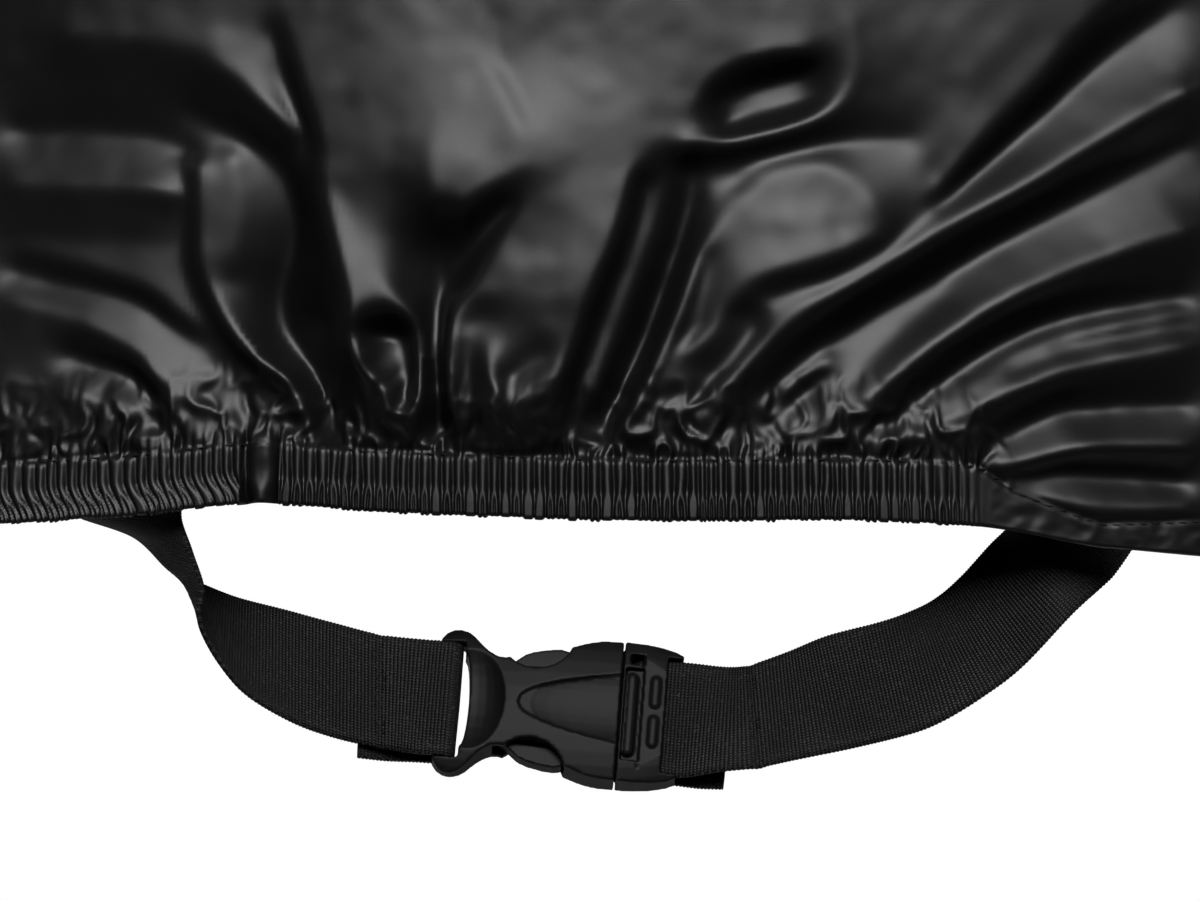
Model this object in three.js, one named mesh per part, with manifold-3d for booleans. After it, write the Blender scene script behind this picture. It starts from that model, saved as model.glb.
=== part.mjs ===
// A fitted motorcycle cover as it hangs over the machine: hollow and open below, with an elastic hem at the
// front and at the rear, and a webbing strap that closes under the front hem with a side release buckle.
// Millimetres, +Z up, the front of the cover towards -Y. The origin is the point under the top where the
// cover rests, over the middle of the seat.
import * as THREE from 'three';
import { mergeGeometries, mergeVertices } from 'three/addons/utils/BufferGeometryUtils.js';
import Module from 'manifold-3d';

const wasm = await Module();
wasm.setup();

// Cloth
const clothThickness = 1.5;
const casingBulge = 0.5; // how far the folded hem stands out from the cloth, on each face
const pieceGap = 0.3;
const hemDatum = 200; // height of the front hem over the ground
const rest = { y: 200, height: 898.5 }; // place of the origin: the inner face of the top over the seat
const hemDepth = 15; // from the lower edge to the stitch line of the elastic

// Elastic
const frontElastic = { from: -169, to: 89, pitch: 2.8 };
const rearElastic = { from: -84, to: 84, pitch: 5.6 };
const flatPatch = { from: -93.5, to: -84.5 }; // where the ends of the elastic are tacked together
const pleatDepth = 1.7;
const ruffleDrop = 0.8; // how far each pleat hangs lower than the hem between pleats

// Webbing and buckle
const webWidth = 30;
const webThickness = 1.4;
const buckleTurn = THREE.MathUtils.degToRad(4.5); // right end lower, seen from ahead
const buckleTilt = THREE.MathUtils.degToRad(-24); // face turned upwards
const buckleBehindHem = 22;
const buckleX = -13.4;
const buckleBelowHem = 48.5;

// The right side of the cover as upright lines from the front seam to the rear seam, each with five points
// from the hem to the top seam. The left side is its mirror.
const sideLines = [
  { hem: [170, -1006, 188], skirt: [162, -990, 400],
    flank: [142, -962, 640], shoulder: [118, -862, 850], edge: [100, -735, 985] },
  { hem: [252, -870, 206], skirt: [272, -880, 400],
    flank: [302, -800, 660], shoulder: [318, -690, 900], edge: [96, -640, 1062] },
  { hem: [304, -590, 222], skirt: [350, -585, 400],
    flank: [402, -560, 700], shoulder: [418, -500, 985], edge: [94, -480, 1112] },
  { hem: [322, -190, 228], skirt: [362, -190, 370],
    flank: [350, -190, 640], shoulder: [285, -195, 855], edge: [92, -200, 985] },
  { hem: [318, 210, 230], skirt: [350, 205, 360],
    flank: [315, 200, 590], shoulder: [225, 200, 790], edge: [90, 200, 884] },
  { hem: [268, 590, 234], skirt: [292, 595, 370],
    flank: [255, 600, 600], shoulder: [180, 600, 800], edge: [88, 600, 884] },
  { hem: [90, 950, 240], skirt: [92, 985, 390],
    flank: [90, 990, 600], shoulder: [88, 955, 780], edge: [86, 870, 866] },
];
const levels = ['hem', 'skirt', 'flank', 'shoulder', 'edge'];

// How far the centre panel bows out between its two seams: up the front, along the top and down the rear.
const crown = { front: [36, 38, 40, 32, 24], top: 16, rear: [20, 30, 30, 26, 20] };

// The lower edge of the front as seen from ahead: place across and height over the datum.
const frontHemLine = [
  { x: -252, height: 6 }, { x: -170, height: -2 }, { x: -121, height: 0 }, { x: -90, height: 3 },
  { x: -60, height: 1 }, { x: 0, height: -1 }, { x: 60, height: -1 }, { x: 89, height: -3 },
  { x: 117, height: -8 }, { x: 170, height: -10 }, { x: 252, height: 6 },
];

// Crests and valleys of the gathered cloth at the front. Each line runs through points [place across,
// height over the datum, how far the cloth stands out there]. Between the lines the cloth is taut.
const foldLines = [
  { name: 'corner edge', path: [
    [-137.5, 117.5, 3], [-118.5, 117, 3], [-104, 113.5, 3], [-94, 106, 3], [-86.5, 99.5, 3],
    [-80.5, 94, 2],
  ] },
  { name: 'facet top', path: [[-152, 95, -4], [-121, 93.5, -4], [-113, 92, -4], [-108, 89, -5]] },
  { name: 'facet low', path: [[-152, 81.5, 1], [-121, 80.5, 1], [-114, 79.5, 1], [-108.5, 78.5, 0]] },
  { name: 'left shelf', path: [[-152, 68, -2], [-121, 67.5, -2], [-110, 66.5, -3]] },
  { name: 'left tube top', path: [
    [-152, 60.5, -4], [-137.5, 57, -4], [-121, 53.5, -4], [-112, 48, -4], [-104, 41.5, -4],
    [-98.5, 35, -4], [-94, 27, -3], [-92, 20.5, -2],
  ] },
  { name: 'left tube low', path: [
    [-152, 52.5, 2], [-137.5, 48.5, 3], [-121, 40, 3], [-114, 31, 3], [-108.5, 24, 2], [-106, 19, 1],
  ] },
  { name: 'under left tube', path: [
    [-137.5, 39.5, -4], [-121, 34, -4], [-116.5, 27.5, -3], [-113, 20.5, -2],
  ] },
  { name: 'crease valley', path: [
    [-107.5, 84.5, -2], [-107.5, 74.5, -3], [-107.5, 63.5, -3], [-104, 52.5, -3], [-98.5, 43, -3],
    [-91.5, 35, -3], [-85, 29.5, -2], [-81, 22, -2],
  ] },
  { name: 'crease crest', path: [
    [-105.5, 86.5, 1], [-105.5, 74.5, 1], [-105.5, 62.5, 1], [-101.5, 53.5, 1], [-96, 45, 2],
    [-89, 38, 3], [-82, 34.5, 3], [-78, 27.5, 3], [-75, 19.5, 1],
  ] },
  { name: 'black axis', path: [
    [-107.5, 100, -4], [-95.5, 92, -5], [-86.5, 86.5, -6], [-82, 76, -7], [-82.5, 66.5, -8],
    [-86.5, 57, -8], [-87, 47.5, -8], [-82, 38.5, -7], [-76.5, 29, -5], [-73.5, 19.5, -2],
  ] },
  { name: 'lit edge', path: [
    [-83.5, 119, 4], [-82, 114.5, 4], [-79, 104.5, 4], [-76.5, 97, 4], [-74.5, 91, 6],
  ] },
  { name: 'long crest', path: [
    [-74.5, 91, 6], [-73.5, 81, 6], [-71, 70, 6], [-67.5, 58.5, 6], [-65.5, 49, 6], [-65, 41.5, 5],
    [-63.5, 37, 5], [-59.5, 33, 4], [-58.5, 27, 3], [-60, 21, 1],
  ] },
  { name: 'apex ridge', path: [
    [-74.5, 91, 6], [-69.5, 92.5, 5], [-61.5, 89.5, 4], [-53.5, 85.5, 4], [-47, 78.5, 3],
  ] },
  { name: 'inner crest', path: [[-60.5, 63.5, 4], [-58, 57, 4], [-54.5, 52.5, 4], [-49.5, 47.5, 4]] },
  { name: 'arch rim', path: [
    [-64.5, 45, 5], [-62, 49.5, 4], [-58, 51.5, 4], [-54.5, 50, 4], [-49.5, 47.5, 4],
  ] },
  { name: 'inner edge', path: [
    [-49.5, 47.5, 5], [-48.5, 40.5, 5], [-48.5, 30, 5], [-51, 24, 3], [-53.5, 20, 1],
  ] },
  { name: 'groove', path: [
    [-45, 68, -2], [-46, 60.5, -5], [-46, 49, -6], [-46, 36.5, -6], [-45.5, 24.5, -4], [-45, 19.5, -2],
  ] },
  { name: 'centre line', path: [
    [-39.5, 119, 5], [-39.5, 112.5, 5], [-39.5, 104.5, 5], [-40, 95, 5], [-40.5, 85.5, 5],
    [-40.5, 74.5, 3],
  ] },
  { name: 'facet crease', path: [
    [-34.5, 119, 4], [-33.5, 112, 4], [-29.5, 104, 5], [-25.5, 95, 5], [-24, 84, 6],
  ] },
  { name: 'apex edge', path: [[-24, 84, 6], [-29.5, 80.5, 4], [-36, 76.5, 3], [-39, 73.5, 3]] },
  { name: 'triangle', path: [[-27, 74, 1], [-32, 69.5, 0], [-37, 62.5, -2], [-41, 55, -3]] },
  { name: 'leaf stem', path: [
    [-24, 83, 6], [-26.5, 74.5, 5], [-31.5, 64.5, 4], [-36.5, 57, 4], [-41, 52, 4],
  ] },
  { name: 'leaf left', path: [
    [-41, 51.5, 4], [-42.5, 46, 5], [-43.5, 38, 5], [-43, 29.5, 4], [-41.5, 22.5, 2],
  ] },
  { name: 'leaf rim', path: [
    [-40.5, 51.5, 4], [-35.5, 53.5, 4], [-29.5, 53, 4], [-23.5, 49.5, 5], [-18, 45, 5], [-15, 41.5, 5],
  ] },
  { name: 'leaf right', path: [[-15, 41.5, 5], [-17, 33.5, 3], [-21.5, 25.5, 2], [-26.5, 20, 1]] },
  { name: 'overlap crest', path: [
    [35.5, 119, 4], [28.5, 111, 4], [22.5, 106.5, 4], [17, 100, 4], [11.5, 94.5, 4], [6, 88, 4],
    [2.5, 83, 5],
  ] },
  { name: 'overlap line', path: [
    [4.5, 82, 0], [2.5, 73.5, 0], [-1, 63.5, 0], [-4.5, 54, 0], [-8.5, 43, 0], [-13, 31, 0],
    [-15, 21.5, 0],
  ] },
  { name: 'band crest', path: [
    [11, 84, 1], [8.5, 74.5, 1], [6, 65.5, 1], [2, 54.5, 1], [-2.5, 42, 1], [-7, 29, 1],
  ] },
  { name: 'black valley', path: [
    [15.5, 86.5, -5], [16, 76, -6], [13.5, 66.5, -6], [9.5, 54.5, -6], [5, 42, -6], [-0.5, 31, -5],
    [-5, 20.5, -2],
  ] },
  { name: 'dome edge', path: [
    [44, 86.5, 2], [38.5, 85, 2], [31.5, 80, 2], [24.5, 73.5, 2], [19.5, 66.5, 3], [16, 60, 4],
    [12.5, 49, 5], [8, 38.5, 5], [3, 28.5, 4], [-2, 19.5, 2],
  ] },
  { name: 'turn edge', path: [[28.5, 111, 5], [35.5, 111.5, 5], [45.5, 112.5, 5]] },
  { name: 'turn pocket', path: [
    [22.5, 100.5, -2], [28.5, 104, -4], [34, 106.5, -5], [40, 108, -5], [45.5, 109, -4],
  ] },
  { name: 'turn crest', path: [
    [55, 120.5, 4], [55.5, 112.5, 4], [54.5, 104.5, 4], [50.5, 99.5, 4], [41, 95, 5], [27.5, 91.5, 5],
    [14, 89.5, 6],
  ] },
  { name: 'shadow band', path: [
    [15.5, 86.5, -2], [21, 85.5, -1], [29, 86.5, -1], [40, 89, -1], [51.5, 91.5, -1], [62.5, 92.5, -1],
    [70.5, 92, 0],
  ] },
  { name: 'dome top', path: [
    [44, 86.5, 2], [48.5, 85.5, 3], [55, 81.5, 4], [60.5, 74.5, 5], [63, 67.5, 5],
  ] },
  { name: 'dome low', path: [
    [22, 52.5, 3], [28.5, 56, 4], [38.5, 59.5, 5], [49.5, 62.5, 5], [61, 67.5, 5],
  ] },
  { name: 'upper right edge', path: [
    [126, 133.5, 4], [110, 117.5, 4], [102, 106.5, 4], [94, 98.5, 4], [84.5, 88, 4], [76.5, 79, 4],
  ] },
  { name: 'dark ray', path: [
    [135.5, 125.5, -3], [122.5, 116, -4], [113, 108, -4], [102, 98, -3], [91.5, 89, -3], [82, 81, -1],
    [76, 76, 0],
  ] },
  { name: 'first hinge', path: [
    [74.5, 74.5, 2], [63, 64.5, 3], [51.5, 58, 3], [38.5, 54.5, 3], [28.5, 51, 2], [18.5, 44.5, 1],
    [11, 35, 1],
  ] },
  { name: 'first ray', path: [
    [138.5, 104.5, 6], [116.5, 92, 6], [100.5, 82, 6], [84.5, 73.5, 6], [68.5, 64, 6], [56, 56.5, 6],
    [45, 50, 6], [34, 41.5, 5], [23.5, 31, 4], [15.5, 22, 2],
  ] },
  { name: 'black ray', path: [
    [138.5, 91.5, -2], [116.5, 80, -3], [100.5, 71.5, -4], [86, 63.5, -5], [71, 55, -5], [59, 48, -5],
    [46.5, 39.5, -4], [35.5, 30, -3], [26.5, 20.5, -1],
  ] },
  { name: 'pocket leaf top', path: [
    [7, 30, 2], [11.5, 36.5, 3], [19.5, 44.5, 4], [26.5, 50.5, 4], [32, 52.5, 4],
  ] },
  { name: 'pocket leaf low', path: [[31.5, 46, 0], [25, 37, 0], [17, 28, 0]] },
  { name: 'grey fold', path: [
    [78.5, 54, -4], [69.5, 47.5, -3], [61.5, 39.5, -2], [54.5, 33.5, -1], [47, 27, 0], [40.5, 20.5, 0],
  ] },
  { name: 'second ray', path: [
    [138.5, 70, 5], [116.5, 62.5, 5], [100.5, 56, 5], [89.5, 50.5, 5], [79, 44, 5], [71, 38, 5],
    [63, 31, 4], [54.5, 24, 3], [48.5, 20, 1],
  ] },
  { name: 'second black ray', path: [
    [138.5, 54, -3], [116.5, 50, -4], [105, 47.5, -5], [94, 42.5, -5], [83, 36, -4], [72.5, 28.5, -3],
    [63, 21.5, -1],
  ] },
  { name: 'third ray', path: [
    [138.5, 41.5, 4], [116.5, 37, 4], [105, 34.5, 4], [94, 30, 4], [83, 25, 3], [72, 20, 2], [61, 17, 1],
  ] },
  { name: 'third black ray', path: [
    [138.5, 27, -2], [116.5, 26.5, -3], [107, 25.5, -3], [99, 22, -3], [91.5, 18, -2],
  ] },
  { name: 'fourth ray', path: [[138.5, 16.5, 4], [116.5, 16.5, 4], [102.5, 14, 3], [91.5, 10.5, 2]] },
  { name: 'wedge', path: [[138.5, 8, -3], [116.5, 10, -3], [100.5, 10, -2], [91.5, 9, -1]] },
];

// Broad folds of the rest: where the fold starts, as a length along the hem from the middle of the front,
// the part of the height that it takes up, how far it drifts along the hem on its way up, its half width
// and its rise.
const drapeFolds = [
  { at: 262, from: 0.02, to: 0.55, drift: 60, width: 34, rise: 18 },
  { at: 350, from: 0.0, to: 0.7, drift: 40, width: 40, rise: -15 },
  { at: 450, from: 0.05, to: 0.85, drift: 30, width: 46, rise: 24 },
  { at: 570, from: 0.0, to: 0.8, drift: -20, width: 46, rise: -16 },
  { at: 700, from: 0.05, to: 0.8, drift: -90, width: 54, rise: 22 },
  { at: 840, from: 0.0, to: 0.6, drift: -120, width: 54, rise: -15 },
  { at: 990, from: 0.1, to: 0.85, drift: -230, width: 60, rise: 22 },
  { at: 1160, from: 0.0, to: 0.6, drift: 0, width: 64, rise: -13 },
  { at: 1320, from: 0.05, to: 0.75, drift: 60, width: 58, rise: 18 },
  { at: 1480, from: 0.0, to: 0.6, drift: 40, width: 52, rise: -14 },
  { at: 1620, from: 0.05, to: 0.8, drift: 30, width: 48, rise: 18 },
  { at: 1760, from: 0.0, to: 0.65, drift: -20, width: 44, rise: -14 },
  { at: -250, from: 0.02, to: 0.6, drift: -50, width: 36, rise: 16 },
  { at: -345, from: 0.0, to: 0.7, drift: -50, width: 42, rise: -15 },
  { at: -450, from: 0.05, to: 0.8, drift: -10, width: 46, rise: 22 },
  { at: -570, from: 0.0, to: 0.7, drift: 10, width: 48, rise: -15 },
  { at: -720, from: 0.05, to: 0.85, drift: 110, width: 56, rise: 24 },
  { at: -880, from: 0.0, to: 0.65, drift: 130, width: 56, rise: -15 },
  { at: -1040, from: 0.08, to: 0.8, drift: 200, width: 60, rise: 20 },
  { at: -1210, from: 0.0, to: 0.6, drift: -30, width: 60, rise: -13 },
  { at: -1350, from: 0.05, to: 0.8, drift: -60, width: 54, rise: 20 },
  { at: -1510, from: 0.0, to: 0.6, drift: -30, width: 52, rise: -14 },
  { at: -1660, from: 0.05, to: 0.75, drift: -10, width: 46, rise: 18 },
  { at: -1790, from: 0.0, to: 0.6, drift: 20, width: 42, rise: -13 },
];

// The strap seen from ahead, from where it is sewn inside the hem to the buckle: its upper and lower edge
// [place across, height over the datum] and how far its middle lies behind the front of the hem. A sewn end
// lies on the inner face of the hem.
const leftWeb = [
  { upper: [-137.5, 7], lower: [-108, 5], sewn: true },
  { upper: [-136.5, 1], lower: [-109, -1], behind: 27 },
  { upper: [-121.2, -5], lower: [-106.6, -9], behind: 31 },
  { upper: [-112.7, -13], lower: [-103.7, -18], behind: 31 },
  { upper: [-108.3, -16], lower: [-104.4, -23.7], behind: 30.5 },
  { upper: [-103.7, -18], lower: [-103.2, -29], behind: 30 },
  { upper: [-98.3, -20], lower: [-98.8, -36.5], behind: 29 },
  { upper: [-92, -21.7], lower: [-92.2, -44], behind: 27 },
  { upper: [-81.7, -24.2], lower: [-81.7, -50.5], behind: 24.5 },
  { upper: [-72, -26.7], lower: [-72, -54.2], behind: 22.5 },
  { upper: [-60.2, -29.7], lower: [-60.2, -57], behind: 21 },
];
const rightWeb = [
  { upper: [25.4, -37.8], lower: [23.7, -62.4], behind: 21 },
  { upper: [31.2, -37.3], lower: [32.9, -61.4], behind: 21 },
  { upper: [40.2, -34.2], lower: [42.7, -59.5], behind: 22 },
  { upper: [50, -30], lower: [56, -57], behind: 22 },
  { upper: [62.2, -26.8], lower: [68.3, -54.2], behind: 23 },
  { upper: [69.5, -24.4], lower: [76.8, -51], behind: 24 },
  { upper: [76.3, -21.2], lower: [87.6, -44.6], behind: 25.5 },
  { upper: [82.7, -15.9], lower: [97.3, -37.4], behind: 27 },
  { upper: [91.5, -6.3], lower: [109, -25.2], behind: 28 },
  { upper: [98.4, 1.5], lower: [119.8, -15.5], behind: 27, upperIsAhead: true },
  { upper: [102.6, 8], lower: [126, -6.4], sewn: true },
];

// The webbing at the buckle, in the buckle's own directions, before and after its turn round a bar:
// [along, out of the face, how far it has slipped down].
const leftLoop = {
  before: [[-37, 2.5, 0], [-33.5, 2.6, 0]],
  bar: { along: -30.5, out: 0, radius: 2.6 },
  after: [[-36, -2.6, 0], [-44, -1.2, 0.9], [-51, -0.6, 0.9]],
};
const rightLoop = {
  before: [[39, -2.9, 0.9], [33, -3.6, 0.8], [27, -4.6, 0], [22, -5, 0]],
  bar: { along: 17.5, out: -2.2, radius: 2.9 },
  after: [[23, 0.7, 0], [29, 0.8, 0]],
};

// Where the cloth is sampled: heights on a scale of 0 (hem) to 4 (top seam), places along the side from 0
// to 6.
const frontTop = 0.85;
const lowHeights = [0, 0.075, 0.2, 0.35, 0.5, 0.68, frontTop];
const highHeights = [1.12, 1.45, 1.8, 2.2, 2.65, 3.1, 3.55, 4];
const heightSteps = [...lowHeights, ...highHeights];
const denseRows = 23;
const seenTop = 0.56; // below this height the rows are close together
const seenRows = 19;
const denseColumns = 60;
const denseHalf = 124; // within this distance of the middle the columns are close together
const densePitch = 4.8;
const sidePlaces = 34;
const acrossSteps = 12;
const sideSteps = Array.from({ length: sidePlaces + 1 }, (_, i) => (6 * i) / sidePlaces);

const clamp = (value, low, high) => Math.min(high, Math.max(low, value));
const smooth = (value) => clamp(value, 0, 1) ** 2 * (3 - 2 * clamp(value, 0, 1));
const mix = (a, b, share) => a + (b - a) * share;
const mirrored = ([x, y, z]) => [-x, y, z];
const beyond = (from, to) => to.map((value, axis) => 2 * value - from[axis]);
const less = (a, b) => a.map((value, axis) => value - b[axis]);
const moved = (point, direction, amount) => point.map((value, axis) => value + direction[axis] * amount);

function crossUnit(a, b) {
  return new THREE.Vector3(...a).cross(new THREE.Vector3(...b)).normalize().toArray();
}

// Catmull-Rom through four points, at a share of the way between the middle two.
function throughPoints(p0, p1, p2, p3, share) {
  return p1.map((start, axis) => {
    const slope1 = (p2[axis] - p0[axis]) / 2;
    const slope2 = (p3[axis] - p1[axis]) / 2;
    const rest = p2[axis] - start;
    const third = slope1 + slope2 - 2 * rest;
    const second = 3 * rest - 2 * slope1 - slope2;
    return ((third * share + second) * share + slope1) * share + start;
  });
}

// A point of one upright line of the side.
function onLine(index, height) {
  const line = sideLines[index];
  const points = levels.map((level) => line[level]);
  const last = sideLines.length - 1;
  let above = mirrored(line.edge);
  if (index === 0) above = sideLines[1].edge;
  if (index === last) above = sideLines[last - 1].edge;
  const all = [beyond(line.skirt, line.hem), ...points, above];
  const step = Math.min(3, Math.floor(height));
  return throughPoints(all[step], all[step + 1], all[step + 2], all[step + 3], height - step);
}

// A point of the right side's smooth form. Its ends run on to the other side, except at the top, where they
// run on along the seam.
function onSide(place, height) {
  const last = sideLines.length - 1;
  const step = Math.min(last - 1, Math.floor(place));
  const atTop = smooth(height - 3);
  const past = (end, inner) => {
    const across = mirrored(onLine(end, height));
    return moved(across, less(beyond(onLine(inner, height), onLine(end, height)), across), atTop);
  };
  const before = step === 0 ? past(0, 1) : onLine(step - 1, height);
  const after = step === last - 1 ? past(last, last - 1) : onLine(step + 2, height);
  return throughPoints(before, onLine(step, height), onLine(step + 1, height), after, place - step);
}

// Stations along the centre panel's seam: up the front, along the top, down the rear.
const stationAt = (place, height) => ({ place, height });
const upperFront = [frontTop, ...highHeights].map((height) => stationAt(0, height));
const alongTop = sideSteps.slice(1).map((place) => stationAt(place, 4));
const downRear = heightSteps.slice(1, -1).reverse().map((height) => stationAt(6, height));
const overStations = [...upperFront, ...alongTop, ...downRear];
const casingTop = lowHeights[1];
const denseStations = Array.from({ length: denseRows + 1 }, (_, i) => {
  const isSeen = i <= seenRows;
  const height = isSeen ? mix(casingTop, seenTop, i / seenRows)
    : mix(seenTop, frontTop, (i - seenRows) / (denseRows - seenRows));
  return stationAt(0, height);
});

function crownAt({ place, height }) {
  const table = place < 3 ? crown.front : crown.rear;
  const step = Math.min(3, Math.floor(height));
  const end = mix(table[step], table[step + 1], height - step);
  return mix(end, crown.top, smooth(Math.min(place, 6 - place)));
}

// The outward direction at the middle of the centre panel, square to the way that the panel runs.
function centreNormal({ place, height }) {
  const step = 0.02;
  const upright = (end, up) => onSide(end, clamp(height + up * step, 0, 4));
  let along = less(onSide(Math.min(6, place + step), 4), onSide(Math.max(0, place - step), 4));
  if (place === 0) along = less(upright(0, 1), upright(0, -1));
  if (place === 6) along = less(upright(6, -1), upright(6, 1));
  const length = Math.hypot(along[1], along[2]);
  return [0, -along[2] / length, along[1] / length];
}

// A point of the centre panel's smooth form, across from -1 (left seam) to 1 (right seam).
function onCentre(station, across) {
  const [x, y, z] = onSide(station.place, station.height);
  return moved([x * across, y, z], centreNormal(station), crownAt(station) * (1 - across * across));
}

// Length along the hem from the middle of the front, for each place along the side.
const frontHalf = sideLines[0].hem[0];
const hemLengths = (() => {
  const count = 240;
  const table = [{ place: 0, length: frontHalf }];
  for (let i = 1; i <= count; i += 1) {
    const place = (6 * i) / count;
    const step = less(onSide(place, 0), onSide(table[i - 1].place, 0));
    table.push({ place, length: table[i - 1].length + Math.hypot(...step) });
  }
  return table;
})();
const rearSeamAt = hemLengths.at(-1).length;
const rearHalf = sideLines.at(-1).hem[0];

function hemLengthAt(place) {
  const index = Math.min(hemLengths.length - 2, Math.floor((place / 6) * (hemLengths.length - 1)));
  const [low, high] = [hemLengths[index], hemLengths[index + 1]];
  return mix(low.length, high.length, (place - low.place) / (high.place - low.place));
}

// Height of the front's lower edge over the datum.
function hemLineAt(x) {
  const place = clamp(x, frontHemLine[0].x, frontHemLine.at(-1).x);
  const index = clamp(frontHemLine.findIndex((row) => row.x > place), 1, frontHemLine.length - 1);
  const at = (i) => frontHemLine[clamp(i, 0, frontHemLine.length - 1)];
  const rows = [at(index - 2), at(index - 1), at(index), at(index + 1)].map((row) => [row.height]);
  const share = (place - at(index - 1).x) / (at(index).x - at(index - 1).x);
  return throughPoints(...rows, share)[0];
}

// The taut cloth between the fold lines: a raster whose lines are held while all between them evens out.
const raster = { step: 2, left: -frontHalf, low: 10, columns: 171, rows: 92 };
const rasterTop = raster.low + (raster.rows - 1) * raster.step;
const foldRaster = (() => {
  const { step, left, low, columns, rows } = raster;
  const values = new Float64Array(columns * rows);
  const held = new Uint8Array(columns * rows);
  const hold = (x, height, out) => {
    const column = clamp(Math.round((x - left) / step), 0, columns - 1);
    const row = clamp(Math.round((height - low) / step), 0, rows - 1);
    values[row * columns + column] = out;
    held[row * columns + column] = 1;
  };
  for (const { path } of foldLines) {
    const points = path.map((point) => new THREE.Vector3(...point));
    const curve = new THREE.CatmullRomCurve3(points, false, 'centripetal');
    const count = Math.ceil(curve.getLength() / (step / 2));
    for (const { x, y, z } of curve.getSpacedPoints(count)) hold(x, y, z);
  }
  for (let column = 0; column < columns; column += 1) {
    const x = left + column * step;
    hold(x, rasterTop, 0);
    for (let height = low; height < hemLineAt(x) + hemDepth; height += step) hold(x, height, 0);
  }
  for (let row = 0; row < rows; row += 1) {
    hold(left, low + row * step, 0);
    hold(-left, low + row * step, 0);
  }
  const pull = 1.85; // over-relaxation, so that the raster settles in few sweeps
  for (let sweep = 0; sweep < 400; sweep += 1) {
    for (let row = 1; row < rows - 1; row += 1) {
      for (let column = 1; column < columns - 1; column += 1) {
        const i = row * columns + column;
        if (held[i]) continue;
        const mean = (values[i - 1] + values[i + 1] + values[i - columns] + values[i + columns]) / 4;
        values[i] += pull * (mean - values[i]);
      }
    }
  }
  const evened = 8; // the passes that round off the crests
  for (let pass = 0; pass < evened; pass += 1) {
    const before = values.slice();
    for (let row = 1; row < rows - 1; row += 1) {
      for (let column = 1; column < columns - 1; column += 1) {
        const i = row * columns + column;
        const sides = before[i - 1] + before[i + 1] + before[i - columns] + before[i + columns];
        const isCasing = low + row * step < hemLineAt(left + column * step) + hemDepth;
        if (!isCasing) values[i] = before[i] / 2 + sides / 8;
      }
    }
  }
  return values;
})();

function frontLift(x, height) {
  const { step, left, low, columns, rows } = raster;
  if (Math.abs(x) >= frontHalf || height <= low || height >= rasterTop) return 0;
  const [u, v] = [(x - left) / step, (height - low) / step];
  const [column, row] = [Math.min(columns - 2, Math.floor(u)), Math.min(rows - 2, Math.floor(v))];
  const at = (i, j) => foldRaster[(row + j) * columns + column + i];
  return mix(mix(at(0, 0), at(1, 0), u - column), mix(at(0, 1), at(1, 1), u - column), v - row);
}

// How far the broad folds lift the cloth, at a length along the hem and a height of 0 to 1.
function drapeLift(length, height) {
  const round = 2 * (rearSeamAt + rearHalf);
  const sum = drapeFolds.reduce((total, fold) => {
    const share = (height - fold.from) / (fold.to - fold.from);
    if (share <= 0 || share >= 1) return total;
    let away = length - fold.at - fold.drift * share;
    away -= round * Math.round(away / round);
    const half = fold.width * mix(0.8, 1.4, share);
    return total + fold.rise * Math.sin(Math.PI * share) * Math.exp(-((away / half) ** 2));
  }, 0);
  const fromSeams = Math.min(Math.abs(length) - frontHalf, rearSeamAt - Math.abs(length));
  return sum * smooth(fromSeams / 70);
}

// A point of the smooth form is moved up or down so that its lower edge follows the line of the front hem.
function onHemLine(point, hemPoint, x, height) {
  const share = 1 - smooth(height / 1.1);
  const shift = Math.abs(x) >= frontHemLine.at(-1).x ? 0 : hemLineAt(x) + hemDatum - hemPoint[2];
  return [point[0], point[1], point[2] + shift * share];
}

// The sampled smooth form, with the outward direction at each of its points.
function sampled(columns, rows, pointAt, turn) {
  const lineAt = (i) => Array.from({ length: rows }, (_, k) => pointAt(i, k));
  const points = Array.from({ length: columns }, (_, i) => lineAt(i));
  return points.map((line, i) => line.map((point, k) => {
    const along = less(points[Math.min(columns - 1, i + 1)][k], points[Math.max(0, i - 1)][k]);
    const up = less(line[Math.min(rows - 1, k + 1)], line[Math.max(0, k - 1)]);
    return { point, normal: crossUnit(along, up).map((value) => value * turn) };
  }));
}

const lastHeight = heightSteps.length - 1;
const sideForm = sampled(sidePlaces + 1, heightSteps.length, (i, k) => {
  const [place, height] = [sideSteps[i], heightSteps[k]];
  return onSide(place, height);
}, 1);
const overForm = sampled(overStations.length, acrossSteps + 1, (i, k) => (
  onCentre(overStations[i], (2 * k) / acrossSteps - 1)
), -1);

// Places across the dense part of the front: even in the middle, wider apart towards the seams, where they
// are at the columns of the part above.
const denseAcross = Array.from({ length: denseColumns + 1 }, (_, i) => {
  const fromMiddle = i - denseColumns / 2;
  const inner = denseHalf / densePitch;
  const outer = denseColumns / 2 - inner;
  const beyondInner = Math.max(0, Math.abs(fromMiddle) - inner);
  const innerPart = Math.min(Math.abs(fromMiddle), inner) * densePitch;
  const outerPart = (beyondInner / outer) * (frontHalf - denseHalf);
  return (Math.sign(fromMiddle) * (innerPart + outerPart)) / frontHalf;
});
const denseForm = sampled(denseStations.length, denseColumns + 1, (i, k) => (
  onCentre(denseStations[i], denseAcross[k])
), -1);

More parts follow.
